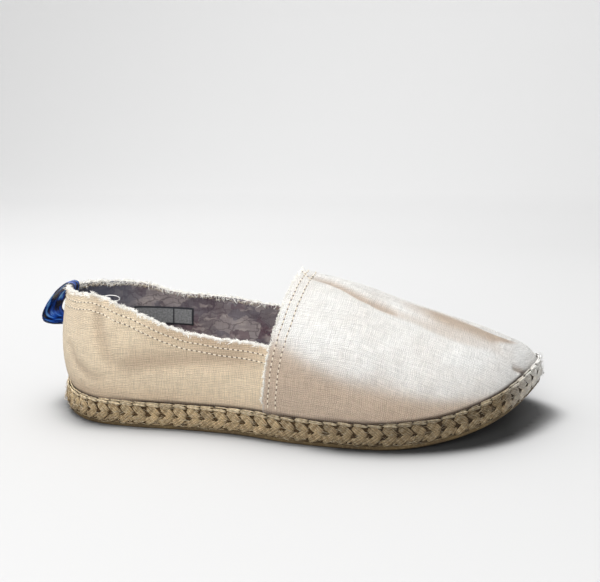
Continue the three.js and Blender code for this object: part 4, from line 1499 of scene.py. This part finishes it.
# %% Ribbon
across = np.linspace(-1, 1, TAB_COLUMNS + 1)
around_edge = np.linspace(0, 0.6, 200)
heel = last_at(around_edge, np.full(200, float(edge_climb[0])))
BOW = np.interp(TAB_WIDTH / 2, heel[:, 1], heel[:, 0]) - heel[0, 0]
along = np.linspace(0, 1, TAB_ROWS_FINE + 1)
buckle = 0.5 * np.sin(along * 9)[:, None] * np.sin(across * 2.2)[None]
gather = np.interp(along, [0, 0.16, 0.30, 0.5, 1], [0.5, 0.48, 0.66, 1, 1])[:, None]
turned = np.interp(along, [0, 0.25, 0.42, 0.6, 0.8, 0.93, 1],
                   [0, 0, 2.6, 4.2, 4.2, 1.2, 0])[:, None]
lifted = np.interp(along, [0, 0.3, 0.55, 0.8, 1], [0, 0, 0.6, 1.6, 1.0])[:, None]
x = centre[:, :1] + BOW * (gather * across[None]) ** 2 + turned * np.clip(across[None], -0.4, 1)
x = x + buckle * (along * (1 - along))[:, None] * 3
y = np.broadcast_to(across[None] * gather * TAB_WIDTH / 2, x.shape)
z = centre[:, 1:] + 0.25 * buckle + lifted * across[None]
points = np.stack([x, y, z], -1)
tab = new_grid("ribbon_tab", TAB_COLUMNS, TAB_ROWS_FINE)
lay(tab, points, points - points.mean((0, 1)))
cloth_map(tab, arc_lengths(points, 0), y)
apply(tab, "SOLIDIFY", thickness=RIBBON * MM, offset=0)
dress(tab, ribbon_material(TAB_WIDTH), "ribbon", "pull_tab")
print("ribbon tab:", len(tab.data.polygons), "faces")

# %% [markdown]
# ## Floor
# A pale sheet curves up into a backdrop far behind the shoe. Its squares are small near the shoe,
# where a shadow is painted on it: softly all round the sole, deeply at the heel and along the
# forefoot.

# %% Floor
def places_out(low, high, count, start, end, steps):
    """Even places from low to high, then further and further apart out to start and end."""
    grow = np.linspace(0, 1, steps + 1)[1:] ** 2
    return np.concatenate([(low + (start - low) * grow)[::-1], np.linspace(low, high, count),
                           high + (end - high) * grow])


WALL_START, WALL_BEND, WALL_RISE = 1.2, 1.3, 2.5
floor_x = places_out(-0.17, 0.17, 121, -4, 4, 12)
floor_y = places_out(-0.10, 0.09, 81, -3, 2.5, 40)
rolled_up_share = np.clip((floor_y - WALL_START) / WALL_BEND, 0, 1)
angle = rolled_up_share * HALF_PI
depth = np.where(rolled_up_share > 0, WALL_START + WALL_BEND * np.sin(angle), floor_y)
height = WALL_BEND * (1 - np.cos(angle)) + WALL_RISE * rolled_up_share ** 8
whole = (len(floor_y), len(floor_x))
corners = np.stack([np.broadcast_to(floor_x, whole), np.broadcast_to(depth[:, None], whole),
                    np.broadcast_to(height[:, None], whole)], -1)
floor = new_grid("floor", len(floor_x) - 1, len(floor_y) - 1)
floor.data.vertices.foreach_set("co", corners.ravel())
floor.data.update()
floor.data.shade_smooth()
print("floor:", len(floor.data.polygons), "faces")

# %% [markdown]
# Each corner of the sheet is measured from the sole's edge, and the painted shadow fades with that
# distance.

# %% Shade on the floor
plan = corners[..., :2] / MM - SHIFT[:2]
sole_edge = inset_at(np.linspace(-np.pi, np.pi, 241), np.full(241, RUBBER_INSET))
near = (np.abs(plan) < (200, 130)).all(-1)
away = np.full(whole, 1000.0)
away[near] = np.linalg.norm(plan[near][:, None] - sole_edge[None], axis=-1).min(1)
there = turn_of(share_at(plan[..., 0]))
under = ((np.abs(plan[..., 0]) < LENGTH / 2) & (plan[..., 1] > -BALL_WIDTH * lateral_half(there))
         & (plan[..., 1] < BALL_WIDTH * medial_half(there)))
away[under] = 0
deep_shade = np.interp(plan[..., 0], [-130, -105, -80, 8, 30, 112, 135],
                       [0.2, 0.5, 0, 0, 0.78, 0.78, 0.5])
deep_shade = deep_shade * np.exp(-(away / 7) ** 2)
soft_shade = 0.5 * np.exp(-away / 10)
layer = floor.data.attributes.new("shade", "FLOAT", "POINT")
both_shades = 1 - (1 - deep_shade) * (1 - soft_shade)
print("deepest shade on the floor:", both_shades.max().round(2))
layer.data.foreach_set("value", both_shades.astype(np.float32).ravel())

# %% [markdown]
# The sheet is matt and pale. Further back it is lighter and glows a little: painted light that
# stands in for a lit backdrop.

# %% Floor finish
paper = bpy.data.materials.new("pale_floor")
paper.use_nodes = True
paper_tree = paper.node_tree
paper_depth = axes_of(paper_tree, place_of(paper_tree))[1]
near_floor, far_wall = (0.55, 0.55, 0.55, 1), (0.81, 0.81, 0.81, 1)
paper_shade = mix_colour(paper_tree, remap(paper_tree, paper_depth, 0.0, 1.3),
                         near_floor, far_wall)
paper_shade = mix_colour(paper_tree, painted(paper_tree, "shade"), paper_shade, (0.0, 0.0, 0.0, 1))
paper_shader = paper_tree.nodes["Principled BSDF"]
paper_tree.links.new(paper_shade, paper_shader.inputs["Base Color"])
paper_shader.inputs["Emission Color"].default_value = (1, 1, 1, 1)
# painted light: the backdrop glows more further back
paper_tree.links.new(remap(paper_tree, paper_depth, 0.6, 2.3, 0.0, 0.27),
                     paper_shader.inputs["Emission Strength"])
paper_shader.inputs["Roughness"].default_value = 0.9
paper_shader.inputs["Specular IOR Level"].default_value = 0.1
floor.data.materials.append(paper)
print("floor wears", paper.name)


# %% [markdown]
# ## Light
# One wide soft lamp hangs high on the left and a weaker one fills from the front. The sky is
# white above and greyer low down, so the shoe's side is shaded towards the sole.

# %% Lamps and sky
def lamp(name, place, size, power):
    data = bpy.data.lights.new(name, "AREA")
    data.shape = "DISK"
    data.size = size
    data.energy = power
    piece = bpy.data.objects.new(name, data)
    bpy.context.scene.collection.objects.link(piece)
    piece.location = place
    aim = Vector((0, 0, 0.04)) - Vector(place)
    piece.rotation_mode = "QUATERNION"
    piece.rotation_quaternion = aim.to_track_quat("-Z", "Y")


lamp("key", (-0.42, 0.10, 1.52), 0.57, 23.6)
lamp("fill", (0.0, -1.2, 0.70), 0.9, 12.5)
print("lamps:", [light.name for light in bpy.data.lights])
world = bpy.data.worlds.new("sky")
bpy.context.scene.world = world
world.use_nodes = True
sky = world.node_tree.nodes["Background"]
way = world.node_tree.nodes.new("ShaderNodeTexCoord").outputs["Generated"]
way_up = axes_of(world.node_tree, way)[2]
sky_shade = mix_colour(world.node_tree, remap(world.node_tree, way_up, 0.0, 0.7),
                       (0.42, 0.42, 0.42, 1), (1.0, 1.0, 1.0, 1))
world.node_tree.links.new(sky_shade, sky.inputs["Color"])
sky.inputs["Strength"].default_value = 0.44
